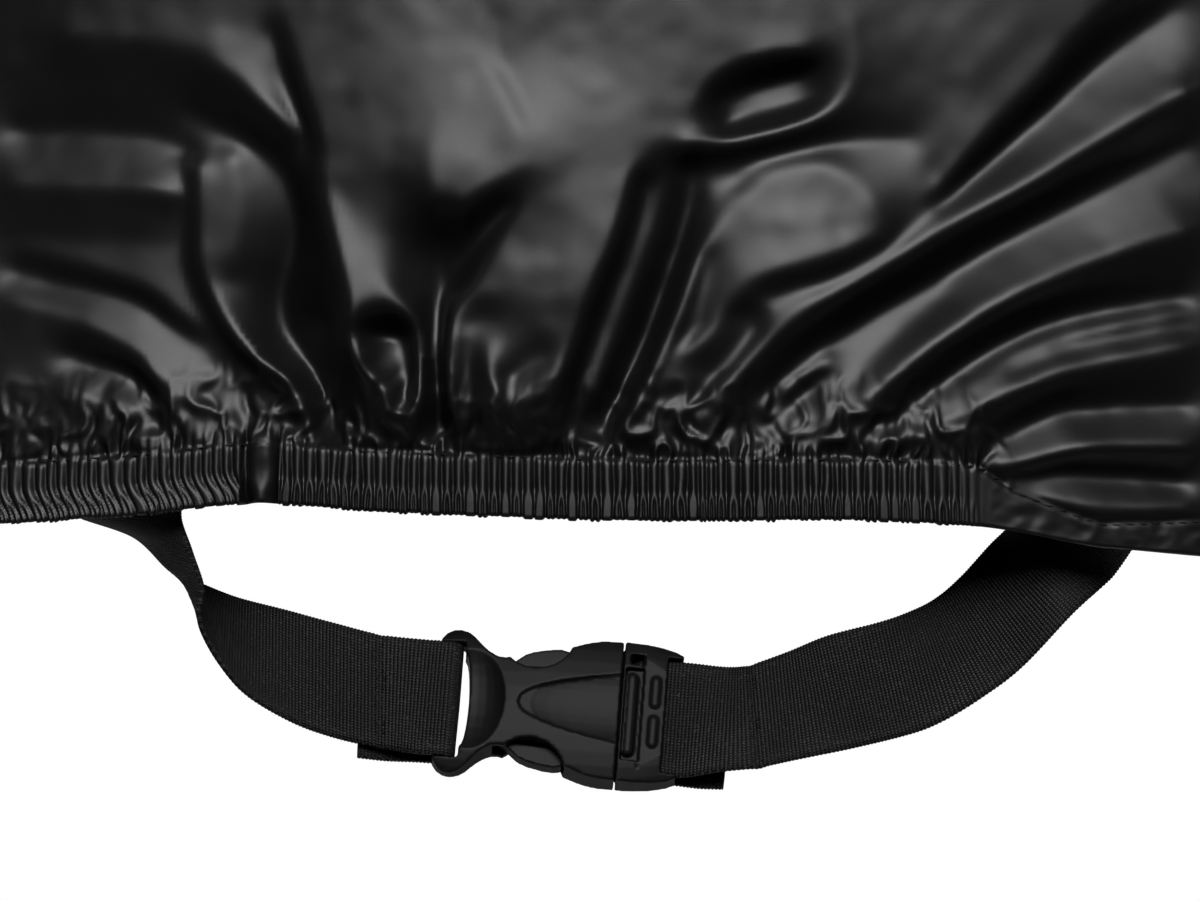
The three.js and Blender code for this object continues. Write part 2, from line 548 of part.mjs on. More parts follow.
// Along a seam both panels take the direction of the side, so that their edges stay side by side.
function seamNormal(place, height) {
  const step = 0.03;
  const along = less(onSide(Math.min(6, place + step), height), onSide(Math.max(0, place - step), height));
  const up = less(onSide(place, Math.min(4, height + step)), onSide(place, Math.max(0, height - step)));
  if (height < 4 || (place > 0 && place < 6)) {
    const side = crossUnit(along, up);
    const centre = centreNormal(stationAt(place, height));
    return new THREE.Vector3(...side).add(new THREE.Vector3(...centre)).normalize().toArray();
  }
  return seamNormal(place, 3.9);
}
sideSteps.forEach((place, i) => {
  sideForm[i][lastHeight].normal = seamNormal(place, 4);
});
heightSteps.forEach((height, k) => {
  sideForm[0][k].normal = seamNormal(0, height);
  sideForm[sidePlaces][k].normal = seamNormal(6, height);
});
[[overStations, overForm], [denseStations, denseForm]].forEach(([stations, form]) => {
  stations.forEach(({ place, height }, i) => {
    const normal = seamNormal(place, height);
    form[i].at(-1).normal = normal;
    form[i][0].normal = mirrored(normal);
  });
});

// Outer and inner face of the cloth.
function facesOf(point, normal, lift, bulge) {
  const outer = moved(point, normal, lift + bulge);
  const inner = moved(point, normal, lift - clothThickness - bulge);
  return { outer, inner };
}
const bulgeAt = (height) => (height <= casingTop ? casingBulge : 0);

function sideFaces(i, k, sign) {
  const { point, normal } = sideForm[i][k];
  const length = sign * hemLengthAt(sideSteps[i]);
  const lift = drapeLift(length, heightSteps[k] / 4);
  const isFront = sideSteps[i] <= 1;
  const shifted = isFront ? onHemLine(point, sideForm[i][0].point, sign * point[0], heightSteps[k]) : point;
  return facesOf(shifted, normal, lift, bulgeAt(heightSteps[k]));
}
function overFaces(i, k) {
  const { point, normal } = overForm[i][k];
  const { place, height } = overStations[i];
  const isFront = place === 0;
  const hemPoint = onCentre(stationAt(place, 0), (2 * k) / acrossSteps - 1);
  const shifted = isFront ? onHemLine(point, hemPoint, point[0], height) : point;
  const lift = isFront ? frontLift(shifted[0], shifted[2] - hemDatum) : 0;
  return facesOf(shifted, normal, lift, bulgeAt(height));
}
function denseFaces(i, k) {
  const { point, normal } = denseForm[i][k];
  const { height } = denseStations[i];
  const hemPoint = onCentre(stationAt(0, 0), denseAcross[k]);
  const shifted = onHemLine(point, hemPoint, point[0], height);
  return facesOf(shifted, normal, frontLift(shifted[0], shifted[2] - hemDatum), bulgeAt(height));
}

// A box splits the squares of its inner face along the other diagonal than those of its outer face. On a
// curved sheet the two would cross, so the inner squares are split again, along the same diagonal.
function splitLikeOuterFace(corners, { start, count }) {
  for (let i = start; i < start + count; i += 6) {
    const [a, b, d, , c] = corners.slice(i, i + 6);
    corners.set([a, b, c, a, c, d], i);
  }
}

// A sheet with two faces: a flat box with the given steps, whose corners are moved to where the cloth is.
// Corners that come to the same place are joined, and triangles that then have no area are left out. An end
// that is open has no edge face, because the next sheet goes on there.
const endFaces = { top: 2, bottom: 3 }; // groups of a box's triangles
const innerFace = 5;
function sheetGeometry(columns, rows, pointAt, openEnds = []) {
  const box = new THREE.BoxGeometry(1, 1, 1, columns, rows, 1);
  box.deleteAttribute('normal');
  box.deleteAttribute('uv');
  splitLikeOuterFace(box.getIndex().array, box.groups[innerFace]);
  const position = box.getAttribute('position');
  for (let i = 0; i < position.count; i += 1) {
    const column = Math.round((position.getX(i) + 0.5) * columns);
    const row = Math.round((position.getY(i) + 0.5) * rows);
    position.setXYZ(i, ...pointAt(column, row, position.getZ(i) > 0));
  }
  const open = openEnds.map((end) => box.groups[endFaces[end]]);
  const merged = mergeVertices(box, 1e-3);
  const [corners, kept] = [merged.getIndex().array, []];
  for (let i = 0; i < corners.length; i += 3) {
    const [a, b, c] = corners.slice(i, i + 3);
    const isOpen = open.some(({ start, count }) => i >= start && i < start + count);
    if (!isOpen && a !== b && b !== c && c !== a) kept.push(a, b, c);
  }
  merged.setIndex(kept);
  return merged;
}

function turnedRound(geometry) {
  const corners = geometry.getIndex().array;
  for (let i = 0; i < corners.length; i += 3) {
    [corners[i + 1], corners[i + 2]] = [corners[i + 2], corners[i + 1]];
  }
  return geometry;
}

function solidOf(geometry) {
  const bare = geometry.clone();
  bare.deleteAttribute('normal');
  bare.deleteAttribute('uv');
  const merged = mergeVertices(bare, 1e-3);
  return new wasm.Manifold(new wasm.Mesh({
    numProp: 3,
    vertProperties: new Float32Array(merged.attributes.position.array),
    triVerts: new Uint32Array(merged.index.array),
  }));
}

function geometryOf(solid) {
  const { numProp, numVert, vertProperties, triVerts } = solid.getMesh();
  const places = new Float32Array(numVert * 3);
  for (let i = 0; i < numVert; i += 1) {
    places.set(vertProperties.subarray(i * numProp, i * numProp + 3), i * 3);
  }
  const geometry = new THREE.BufferGeometry();
  geometry.setAttribute('position', new THREE.BufferAttribute(places, 3));
  geometry.setIndex(new THREE.BufferAttribute(new Uint32Array(triVerts), 1));
  geometry.computeVertexNormals();
  return geometry;
}

// The side panel stops short of the seam by the gap between pieces.
function sidePanel(sign) {
  const sheet = sheetGeometry(sidePlaces, lastHeight, (column, row, isOuter) => {
    const faces = sideFaces(column, row, sign);
    const [x, y, z] = isOuter ? faces.outer : faces.inner;
    const onSeam = column === 0 || column === sidePlaces || row === lastHeight;
    return [sign * (x + (onSeam ? pieceGap : 0)), y, z];
  });
  return sign > 0 ? sheet : turnedRound(sheet);
}

// Above the dense part of the front the columns are further apart, and the dense columns close up to them.
function nearestColumn(across) {
  return Math.round(((across + 1) / 2) * acrossSteps);
}
function centrePanel() {
  const dense = sheetGeometry(denseColumns, denseRows, (column, row, isOuter) => {
    const isTop = row === denseRows;
    const faces = isTop ? overFaces(0, nearestColumn(denseAcross[column])) : denseFaces(row, column);
    return isOuter ? faces.outer : faces.inner;
  }, ['top', 'bottom']);
  const over = sheetGeometry(acrossSteps, overStations.length - 1, (column, row, isOuter) => {
    const faces = overFaces(row, column);
    return isOuter ? faces.outer : faces.inner;
  }, ['top', 'bottom']);
  return mergeVertices(mergeGeometries([casing(true), dense, over, casing(false)]), 1e-3);
}

// The smooth form at the lower edge of the centre panel, front or rear.
function hemFrame(isFront, x, height) {
  const place = isFront ? 0 : 6;
  const half = isFront ? frontHalf : rearHalf;
  const at = (where, up) => onCentre(stationAt(place, Math.max(0, up)), clamp(where / half, -1, 1));
  const base = at(x, height);
  const point = isFront ? onHemLine(base, at(x, 0), x, height) : base;
  const along = less(at(x + 1, height), at(x - 1, height));
  const up = less(at(x, height + 0.05), at(x, height));
  return { point, normal: crossUnit(along, up).map((value) => value * (isFront ? 1 : -1)) };
}

// The casing at the hem. Where it holds elastic it is gathered into small upright pleats, which open into a
// ruffle below. Its upper edge closes up to the columns of the panel above.
function casing(isFront) {
  const { from, to, pitch } = isFront ? frontElastic : rearElastic;
  const half = isFront ? frontHalf : rearHalf;
  const evenAcross = Array.from({ length: acrossSteps + 1 }, (_, i) => (2 * i) / acrossSteps - 1);
  const above = isFront ? denseAcross : evenAcross;
  const pleats = 2 * Math.round((to - from) / pitch);
  const gathered = Array.from({ length: pleats + 1 }, (_, i) => (
    { x: mix(from, to, i / pleats), isCrest: i % 2 === 0 }
  ));
  const plain = above.map((across) => ({ x: across * half, isCrest: false }))
    .filter(({ x }) => x < from - pitch / 4 || x > to + pitch / 2);
  const columns = [...gathered, ...plain].sort((a, b) => a.x - b.x);
  const last = columns.length - 1;
  const nearest = (x) => above.reduce((best, across, i) => (
    Math.abs(across * half - x) < Math.abs(above[best] * half - x) ? i : best
  ), 0);
  const band = sheetGeometry(last, 2, (column, row, isOuter) => {
    const { x, isCrest } = columns[column];
    if (row === 2) {
      const lastStation = overStations.length - 1;
      const faces = isFront ? denseFaces(0, nearest(x)) : overFaces(lastStation, nearest(x));
      return isOuter ? faces.outer : faces.inner;
    }
    const height = (casingTop * row) / 2;
    const { point, normal } = hemFrame(isFront, x, height);
    const atSeam = column === 0 || column === last;
    const seam = seamNormal(isFront ? 0 : 6, height);
    const direction = atSeam ? (x > 0 ? seam : mirrored(seam)) : normal;
    const isFlat = isFront && x > flatPatch.from && x < flatPatch.to;
    const isPleat = isCrest && !isFlat && !atSeam;
    const [px, py, pz] = moved(point, direction, isOuter ? casingBulge : -clothThickness - casingBulge);
    const [ox, oy, oz] = isPleat && isOuter ? moved([px, py, pz], normal, pleatDepth) : [px, py, pz];
    return [ox, oy, oz - (isPleat && row === 0 ? ruffleDrop : 0)];
  }, ['top']);
  return isFront ? band : turnedRound(band);
}

// Points of the buckle's own directions, along, across and out of its face, as seen in the cover.
const hemFront = onCentre(stationAt(0, 0), 0);
const bucklePlace = new THREE.Matrix4()
  .makeTranslation(buckleX, hemFront[1] + buckleBehindHem, hemDatum - buckleBelowHem)
  .multiply(new THREE.Matrix4().makeRotationY(buckleTurn))
  .multiply(new THREE.Matrix4().makeRotationX(buckleTilt + Math.PI / 2));
function inBuckle(along, across, out) {
  return new THREE.Vector3(along, across, out).applyMatrix4(bucklePlace).toArray();
}

// Edges of the webbing at a station that is given by its look from ahead. Its depth follows from its real
// width.
function seenStation({ upper, lower, behind, sewn, upperIsAhead }) {
  if (sewn) {
    const onHem = ([x, height]) => {
      const overEdge = (casingTop * (height - hemLineAt(x))) / hemDepth;
      const { point, normal } = hemFrame(true, x, overEdge);
      const inward = clothThickness + casingBulge + pieceGap + webThickness / 2;
      return [x, point[1] - normal[1] * inward, hemDatum + height];
    };
    return { upper: onHem(upper), lower: onHem(lower) };
  }
  const seen = Math.hypot(upper[0] - lower[0], upper[1] - lower[1]);
  const turned = Math.sqrt(Math.max(0, webWidth ** 2 - seen ** 2)) / 2;
  const away = upperIsAhead ? -turned : turned;
  const middle = hemFront[1] + behind;
  return {
    upper: [upper[0], middle + away, hemDatum + upper[1]],
    lower: [lower[0], middle - away, hemDatum + lower[1]],
  };
}

// Edges of the webbing where it turns round a bar of the buckle: over the bar's right end if turn is 1,
// else its left.
function loopStations({ before, bar, after }, turn) {
  const arcSteps = 6;
  const arc = Array.from({ length: arcSteps + 1 }, (_, i) => {
    const angle = turn * (Math.PI / 2 - (Math.PI * i) / arcSteps);
    return [bar.along + turn * bar.radius * Math.cos(angle), bar.out + bar.radius * Math.sin(angle), 0];
  });
  return [...before, ...arc, ...after].map(([along, out, drop]) => ({
    upper: inBuckle(along, webWidth / 2 - drop, out),
    lower: inBuckle(along, -webWidth / 2 - drop, out),
  }));
}

// The webbing through its stations, with two steps between each two.
function webbing(stations) {
  const count = (stations.length - 1) * 2;
  const at = (edge, step) => {
    const index = Math.min(stations.length - 2, Math.floor(step / 2));
    const pick = (i) => stations[clamp(i, 0, stations.length - 1)][edge];
    return throughPoints(pick(index - 1), pick(index), pick(index + 1), pick(index + 2), step / 2 - index);
  };
  const edges = Array.from({ length: count + 1 }, (_, step) => (
    { upper: at('upper', step), lower: at('lower', step) }
  ));
  const middles = edges.map(({ upper, lower }) => upper.map((value, axis) => (value + lower[axis]) / 2));
  return sheetGeometry(count, 1, (column, row, isOuter) => {
    const along = less(middles[Math.min(count, column + 1)], middles[Math.max(0, column - 1)]);
    const normal = crossUnit(along, less(edges[column].upper, edges[column].lower));
    const edge = row === 1 ? edges[column].upper : edges[column].lower;
    return moved(edge, normal, isOuter ? webThickness / 2 : -webThickness / 2);
  });
}

// Buckle: both halves are drawn face on, as half outlines [along, half width], and rounded off by one
// turned form.
const buckleDome = [[-36, 4.4], [-26, 4.9], [-17, 5.2], [-8, 5.6], [13, 5.6], [20, 5.2], [29, 4.4]];
const domeWidening = 24 / 5.6;
const socketHalf = [
  [-33.4, 14.2], [-32.2, 17], [-30.2, 18.8], [-27.6, 19], [-25.2, 17.6], [-23.2, 15.4], [-21, 13.2],
  [-18.6, 11.8], [-16.4, 11.6], [-12.6, 13.6], [-8.4, 15.2], [-1, 15.6], [1.4, 16.6], [6, 18], [12, 18.4],
];
const prongHalf = [[12.4, 18.4], [17, 18.4], [21.5, 18], [25, 17.2], [27, 16.2]];
const buttonHalf = [[-17.4, 9.8], [-15, 11], [-12.4, 13.4], [-8.6, 14.9], [-1, 15.3], [-0.8, 10.8]];
const webRoom = webWidth / 2 + pieceGap;
const mouthAt = 12.2; // where the two halves meet
const farOut = 9; // past the buckle's faces, for cuts that go right through

// Cuts of the socket, all in mm along the buckle from its middle. Cuts that are alike on both sides give
// their middle across, too.
const cavity = { from: -14.6, to: 12.6, half: 14.2, deep: 2.7 };
const bullet = { tip: -13, half: 9.4, inset: 0.55 }; // the panel on the face, set in a little
const archWindow = { along: -9.4, across: 19, radii: [9.4, 9.7] };
const buttonSlot = { from: -18.2, to: -0.4, across: 14, half: 5, deep: 2.7 };
const mouthRecess = { from: 10.4, to: 12.6, half: 17, deep: 2.5 };
const panelDish = { at: [9, 0, 5.7], radii: [21, 9.8, 1.9] };
const leftBay = { from: -37, to: -26.6 };
const bayEnd = { at: [-26.6, 0, 0], radii: [1.7, 12.6, 30] };
const faceScoop = { at: [-25.4, 0, 6.6], radii: [9.6, 16, 5] };
const leftBar = { along: -30.5, out: 0, radius: 1.6 };

// Cuts and additions of the prong half.
const rightBay = { from: 13.7, to: 28, floor: 1.7 };
const openEnd = { from: 23.2, to: 28 };
const padStep = { from: 17.4, to: 23.3, floor: 4.2 };
const padGroove = { from: 17.1, to: 17.6, floor: 3 };
const slotHole = { from: 14, to: 17.1, across: 13.7, half: 1.4 };
const barChannel = { from: 13, to: 17.1, across: -1, half: 12.2, floor: 3.4 };
const faceBar = { along: 14.7, across: -1, out: 3.9, radius: 1.5, length: 19, flatness: 0.75 };
const pad = { along: 20.6, across: 5.2, out: 4.2, radius: 1.3, length: 6, flatness: 0.6 };
const prongArm = { from: -1.2, to: 12.8, across: 12.2, half: 1.2, deep: 2.2 };
const prongRoot = { from: 10.8, to: 12.8, half: 16.6, deep: 2.1 };
const guideTongue = { from: -6, to: 12.8, half: 2.4, deep: 1.4 };
const rightBar = { along: 17.5, out: -2.2, radius: 1.8 };

function boxBetween([x0, y0, z0], [x1, y1, z1]) {
  const box = new THREE.BoxGeometry(x1 - x0, y1 - y0, z1 - z0);
  return solidOf(box.translate((x0 + x1) / 2, (y0 + y1) / 2, (z0 + z1) / 2));
}

function outlineSolid(half, deep) {
  const shape = new THREE.Shape([
    ...half.map(([along, width]) => new THREE.Vector2(along, width)),
    ...half.map(([along, width]) => new THREE.Vector2(along, -width)).reverse(),
  ]);
  const body = new THREE.ExtrudeGeometry(shape, { depth: 2 * deep, bevelEnabled: false });
  return solidOf(body.translate(0, 0, -deep));
}

function domeSolid(inset) {
  const rim = buckleDome.map(([along, out]) => new THREE.Vector2(out - inset, along));
  const profile = [new THREE.Vector2(0, rim[0].y), ...rim, new THREE.Vector2(0, rim.at(-1).y)];
  const turned = new THREE.LatheGeometry(profile, 36);
  return solidOf(turned.rotateZ(-Math.PI / 2).scale(1, domeWidening, 1));
}

function ellipseSolid([x, y, z], [rx, ry, rz]) {
  return solidOf(new THREE.SphereGeometry(1, 24, 14).scale(rx, ry, rz).translate(x, y, z));
}

function roundBar([x, y, z], radius, length) {
  return solidOf(new THREE.CylinderGeometry(radius, radius, length, 14).translate(x, y, z));
}

function smoothHalf(half, count) {
  const points = half.map(([x, y]) => new THREE.Vector3(x, y, 0));
  const curve = new THREE.CatmullRomCurve3(points, false, 'centripetal');
  return curve.getSpacedPoints(count).map(({ x, y }) => [x, y]);
}

// A block between two places along the buckle, to both sides of a line across it.
function block({ from, to, across = 0, half = webRoom }, low, high) {
  return boxBetween([from, across - half, low], [to, across + half, high]);
}

function barSolid({ along, out, radius }) {
  return roundBar([along, 0, out], radius, 2 * webRoom + 1);
}

function bulletPanel() {
  const steps = 8;
  const outline = Array.from({ length: steps + 1 }, (_, i) => {
    const share = i / steps;
    return [mix(bullet.tip, mouthAt + 1, share ** 2), 0.01 + bullet.half * share ** 0.9];
  });
  const upperHalf = block({ from: -20, to: 20, half: 20 }, 0, farOut);
  const panel = outlineSolid(outline, farOut).intersect(upperHalf);
  const dish = panel.intersect(ellipseSolid(panelDish.at, panelDish.radii));
  return panel.subtract(domeSolid(bullet.inset)).add(dish);
}

function buckleSocket() {
  const [alongRadius, acrossRadius] = archWindow.radii;
  const arch = new THREE.CylinderGeometry(1, 1, 2 * farOut, 24).rotateX(Math.PI / 2);
  const archCut = solidOf(arch.scale(alongRadius, acrossRadius, 1));
  const outline = outlineSolid(smoothHalf(socketHalf, 26), 6);
  let body = outline.intersect(domeSolid(0)).subtract(bulletPanel());
  body = body.subtract(block(cavity, -cavity.deep, cavity.deep));
  body = body.subtract(block(mouthRecess, -mouthRecess.deep, mouthRecess.deep));
  for (const side of [-1, 1]) {
    const slot = { ...buttonSlot, across: side * buttonSlot.across };
    body = body.subtract(archCut.translate([archWindow.along, side * archWindow.across, 0]));
    body = body.subtract(block(slot, -slot.deep, slot.deep));
  }
  body = body.subtract(block(leftBay, -farOut, farOut));
  body = body.subtract(ellipseSolid(bayEnd.at, bayEnd.radii));
  body = body.subtract(ellipseSolid(faceScoop.at, faceScoop.radii));
  return body.add(barSolid(leftBar));
}

// A bar with round ends across the buckle's face.
function padSolid({ along, across, out, radius, length, flatness }) {
  const shape = new THREE.CapsuleGeometry(radius, length, 4, 10).scale(1, 1, flatness);
  return solidOf(shape.translate(along, across, out));
}

function buttonSolid(side) {
  const corners = smoothHalf(buttonHalf, 10).map(([x, y]) => new THREE.Vector2(x, side * y));
  const { deep } = prongRoot;
  const options = { depth: 2 * deep, bevelEnabled: false };
  const shape = new THREE.ExtrudeGeometry(new THREE.Shape(corners), options);
  return solidOf(shape.translate(0, 0, -deep));
}

function buckleProng() {
  let body = outlineSolid(prongHalf, 6).intersect(domeSolid(0));
  body = body.subtract(block(rightBay, -farOut, rightBay.floor));
  body = body.subtract(block(openEnd, -farOut, farOut));
  body = body.subtract(block(padStep, padStep.floor, farOut));
  body = body.subtract(block(padGroove, padGroove.floor, farOut));
  body = body.subtract(block(barChannel, barChannel.floor, farOut)).add(padSolid(faceBar));
  body = body.subtract(block(slotHole, 0, farOut));
  for (const side of [-1, 1]) {
    const arm = { ...prongArm, across: side * prongArm.across };
    body = body.add(padSolid({ ...pad, across: side * pad.across }));
    body = body.add(block(arm, -arm.deep, arm.deep));
    body = body.add(buttonSolid(side));
  }
  body = body.add(block(prongRoot, -prongRoot.deep, prongRoot.deep));
  body = body.add(block(guideTongue, -guideTongue.deep, guideTongue.deep));
  return body.add(barSolid(rightBar));
}

// Materials
const cloth = new THREE.MeshStandardMaterial({ color: 0x111112, roughness: 0.36, metalness: 0 });
const web = new THREE.MeshStandardMaterial({ color: 0x161617, roughness: 0.8, metalness: 0 });
const plastic = new THREE.MeshStandardMaterial({ color: 0x1b1b1d, roughness: 0.35, metalness: 0 });

const cover = new THREE.Group();
cover.position.set(0, -rest.y, -rest.height);
function addPiece(name, geometry, material) {
  const mesh = new THREE.Mesh(geometry, material);
  mesh.name = name;
  cover.add(mesh);
  return mesh;
}

addPiece('centre_panel', geometryOf(solidOf(centrePanel())), cloth);
addPiece('left_panel', geometryOf(solidOf(sidePanel(-1))), cloth);
addPiece('right_panel', geometryOf(solidOf(sidePanel(1))), cloth);

const leftStations = [...leftWeb.map(seenStation), ...loopStations(leftLoop, 1)];
const rightStations = [...loopStations(rightLoop, -1), ...rightWeb.map(seenStation)];
addPiece('strap_left', geometryOf(solidOf(webbing(leftStations))), web);
addPiece('strap_right', geometryOf(solidOf(webbing(rightStations))), web);

for (const [name, solid] of [['buckle_socket', buckleSocket()], ['buckle_prong', buckleProng()]]) {
  addPiece(name, geometryOf(solid), plastic).applyMatrix4(bucklePlace);
}

export default cover;
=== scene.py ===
# %% [markdown]
# # A motorcycle cover: the gathered front hem, its strap and its buckle
# This script dresses a motorcycle cover in Blender. The cover is a thin black cloth that hangs over the
# machine. At the front an elastic draws its hem together, so the cloth above the hem falls into deep, shiny
# folds. A strap of webbing hangs below the hem and closes with a side release buckle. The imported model
# comes in as a frame of plain solids in metres, and each new piece is made on the place of the solid that
# it stands for.

# %% Load the frame
import math

import bmesh
import bpy
import numpy as np
from mathutils import Matrix, Vector


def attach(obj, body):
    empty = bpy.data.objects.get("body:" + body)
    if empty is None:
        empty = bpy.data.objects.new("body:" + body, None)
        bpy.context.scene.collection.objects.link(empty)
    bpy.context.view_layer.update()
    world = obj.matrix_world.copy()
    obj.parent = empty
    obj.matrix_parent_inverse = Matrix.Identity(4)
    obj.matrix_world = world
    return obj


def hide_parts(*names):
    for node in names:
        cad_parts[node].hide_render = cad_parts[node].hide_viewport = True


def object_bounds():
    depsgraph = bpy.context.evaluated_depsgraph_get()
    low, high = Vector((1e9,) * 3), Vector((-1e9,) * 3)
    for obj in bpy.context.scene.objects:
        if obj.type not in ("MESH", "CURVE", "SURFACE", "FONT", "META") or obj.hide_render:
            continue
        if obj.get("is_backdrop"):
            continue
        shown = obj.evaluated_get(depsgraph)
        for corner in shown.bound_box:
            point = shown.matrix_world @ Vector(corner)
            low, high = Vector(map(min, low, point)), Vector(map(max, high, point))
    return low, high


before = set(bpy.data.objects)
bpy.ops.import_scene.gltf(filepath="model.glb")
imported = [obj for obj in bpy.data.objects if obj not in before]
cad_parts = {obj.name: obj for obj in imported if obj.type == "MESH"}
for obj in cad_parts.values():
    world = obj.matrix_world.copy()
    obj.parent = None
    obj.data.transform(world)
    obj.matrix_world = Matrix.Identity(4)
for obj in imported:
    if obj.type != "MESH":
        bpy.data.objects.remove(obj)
frame_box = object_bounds()
print("nodes in the frame:", ", ".join(sorted(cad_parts)))
print("box of the frame:", [tuple(round(value, 3) for value in corner) for corner in frame_box])

# %% [markdown]
# ## The form that the cloth hangs on
# A cover is sewn from a long centre panel and two side panels. Their shape in use is a smooth form with
# folds on top of it. The smooth form is drawn like a boat: seven upright lines from the front to the rear,
# each with five points from the hem to the seam. A smooth curve runs through the points, first up each line
# and then from line to line. All drawing is in millimetres over the ground, and one function turns it into
# metres in the frame.

# %% Draw the upright lines
HEM_DATUM = 200.0  # height of the front hem over the ground
ORIGIN = np.array([0, 200, 898.5])  # the frame's origin, under the top over the seat
UPRIGHT_LINES = np.array([  # a row for each line, with its points at the hem, skirt, flank, shoulder and seam
    [(170, -1006, 188), (162, -990, 400), (142, -962, 640), (118, -862, 850), (100, -735, 985)],
    [(252, -870, 206), (272, -880, 400), (302, -800, 660), (318, -690, 900), (96, -640, 1062)],
    [(304, -590, 222), (350, -585, 400), (402, -560, 700), (418, -500, 985), (94, -480, 1112)],
    [(322, -190, 228), (362, -190, 370), (350, -190, 640), (285, -195, 855), (92, -200, 985)],
    [(318, 210, 230), (350, 205, 360), (315, 200, 590), (225, 200, 790), (90, 200, 884)],
    [(268, 590, 234), (292, 595, 370), (255, 600, 600), (180, 600, 800), (88, 600, 884)],
    [(90, 950, 240), (92, 985, 390), (90, 990, 600), (88, 955, 780), (86, 870, 866)],
], float)
CROWN = {  # how far the centre panel bows out between its seams, by the way along it
    "way": (0, 1, 2, 3, 4, 5, 9, 10, 11, 12, 13, 14),
    "bow": (36, 38, 40, 32, 24, 16, 16, 20, 26, 30, 30, 20),
}
FLIP = np.array([-1, 1, 1])  # mirrors a point to the other side
TOP_LEVEL = 4  # the levels count from 0 at the hem to 4 at the seam
FRONT_TOP, REAR_TOP, REAR_HEM = 4, 10, 14  # the way along a seam where it turns, and where it ends
WAY_STEP = 0.05  # to both sides of a place, to find the direction of the seam there
print(len(UPRIGHT_LINES), "lines of", UPRIGHT_LINES.shape[1], "points")


# %% Run smooth curves through the points
def to_scene(points):
    return (np.asarray(points) - ORIGIN) / 1000


def smooth(value):
    value = np.clip(value, 0, 1)
    return value * value * (3 - 2 * value)


def through(p0, p1, p2, p3, share):
    """A smooth curve through four points, at a share of the way between the middle two."""
    share = np.asarray(share)[..., None]
    slope1, slope2, gap = (p2 - p0) / 2, (p3 - p1) / 2, p2 - p1
    third = slope1 + slope2 - 2 * gap
    second = 3 * gap - 2 * slope1 - slope2
    return ((third * share + second) * share + slope1) * share + p1


run_out = UPRIGHT_LINES[:, 4] * FLIP
run_out[0], run_out[-1] = UPRIGHT_LINES[1, 4], UPRIGHT_LINES[-2, 4]
LONG_LINES = np.concatenate(  # each line with one point more at both ends
    [2 * UPRIGHT_LINES[:, :1] - UPRIGHT_LINES[:, 1:2], UPRIGHT_LINES, run_out[:, None]], axis=1)
LAST_LINE = len(UPRIGHT_LINES) - 1


def on_line(index, height):
    """Points of the upright lines, with heights from 0, the hem, to 4, the seam."""
    step = np.clip(np.floor(height), 0, TOP_LEVEL - 1).astype(int)
    return through(*(LONG_LINES[index, step + k] for k in range(4)), height - step)


def on_side(place, height):
    """Points of the right side, with places from 0, the front seam, to 6, the rear seam."""
    place, height = np.broadcast_arrays(np.asarray(place, float), np.asarray(height, float))
    step = np.clip(np.floor(place), 0, LAST_LINE - 1).astype(int)

    def past(end, inner):
        at_end, at_inner = on_line(end, height), on_line(inner, height)
        across = at_end * FLIP
        return across + (2 * at_end - at_inner - across) * smooth(height - TOP_LEVEL + 1)[..., None]

    before = np.where((step == 0)[..., None], past(0, 1), on_line(np.maximum(step - 1, 0), height))
    last = (step == LAST_LINE - 1)[..., None]
    after = np.where(last, past(LAST_LINE, LAST_LINE - 1), on_line(np.minimum(step + 2, LAST_LINE), height))
    return through(before, on_line(step, height), on_line(step + 1, height), after, place - step)


def on_seam(way):
    """Points of the right seam: up the front from 0 to 4, along the top to 10, down the rear to 14."""
    way = np.clip(np.asarray(way, float), 0, REAR_HEM)
    level = np.clip(way, 0, TOP_LEVEL) - np.clip(way - REAR_TOP, 0, TOP_LEVEL)
    return on_side(np.clip(way - FRONT_TOP, 0, LAST_LINE), level)


def on_centre(way, across):
    """Points of the centre panel's smooth form, with across from -1, the left seam, to 1, the right seam."""
    run = on_seam(way + WAY_STEP) - on_seam(way - WAY_STEP)
    out = np.stack([np.zeros(len(run)), -run[:, 2], run[:, 1]], axis=1)
    out /= np.linalg.norm(out, axis=1)[:, None]
    bow = np.interp(way, CROWN["way"], CROWN["bow"]) * (1 - across * across)
    seam = on_seam(way)
    return seam * np.stack([across, np.ones(len(seam)), np.ones(len(seam))], axis=1) + out * bow[:, None]


print("the form is", UPRIGHT_LINES[-1, :, 1].max() - UPRIGHT_LINES[0, :, 1].min(), "mm long at its seams")

# %% [markdown]
# ## The line of the hem
# Seen from ahead the front hem isn't level: the elastic pulls it up in some places. The smooth form is
# moved up or down near the hem until its lower edge follows the measured line, and higher up it stays where
# it was.

# %% Follow the hem line
HEM_LINE = {  # the lower edge of the front: place across and height over the datum
    "x": np.array([-252, -170, -121, -90, -60, 0, 60, 89, 117, 170, 252], float),
    "height": np.array([6, -2, 0, 3, 1, -1, -1, -3, -8, -10, 6], float),
}
HEM_REACH = 1.1  # how many levels up the form is moved to follow the line


def hem_height(x):
    places, heights = HEM_LINE["x"], HEM_LINE["height"]
    x = np.clip(x, places[0], places[-1])
    step = np.clip(np.searchsorted(places, x, side="right") - 1, 0, len(places) - 2)
    rows = [heights[np.clip(step + k, 0, len(places) - 1)][..., None] for k in (-1, 0, 1, 2)]
    return through(*rows, (x - places[step]) / (places[step + 1] - places[step]))[..., 0]


def on_hem_line(points, hem_points, x, height):
    share = 1 - smooth(height / HEM_REACH)
    moves = np.where(np.abs(x) < HEM_LINE["x"][-1], hem_height(x) + HEM_DATUM - hem_points[:, 2], 0)
    return points + np.stack([0 * moves, 0 * moves, moves * share], axis=1)


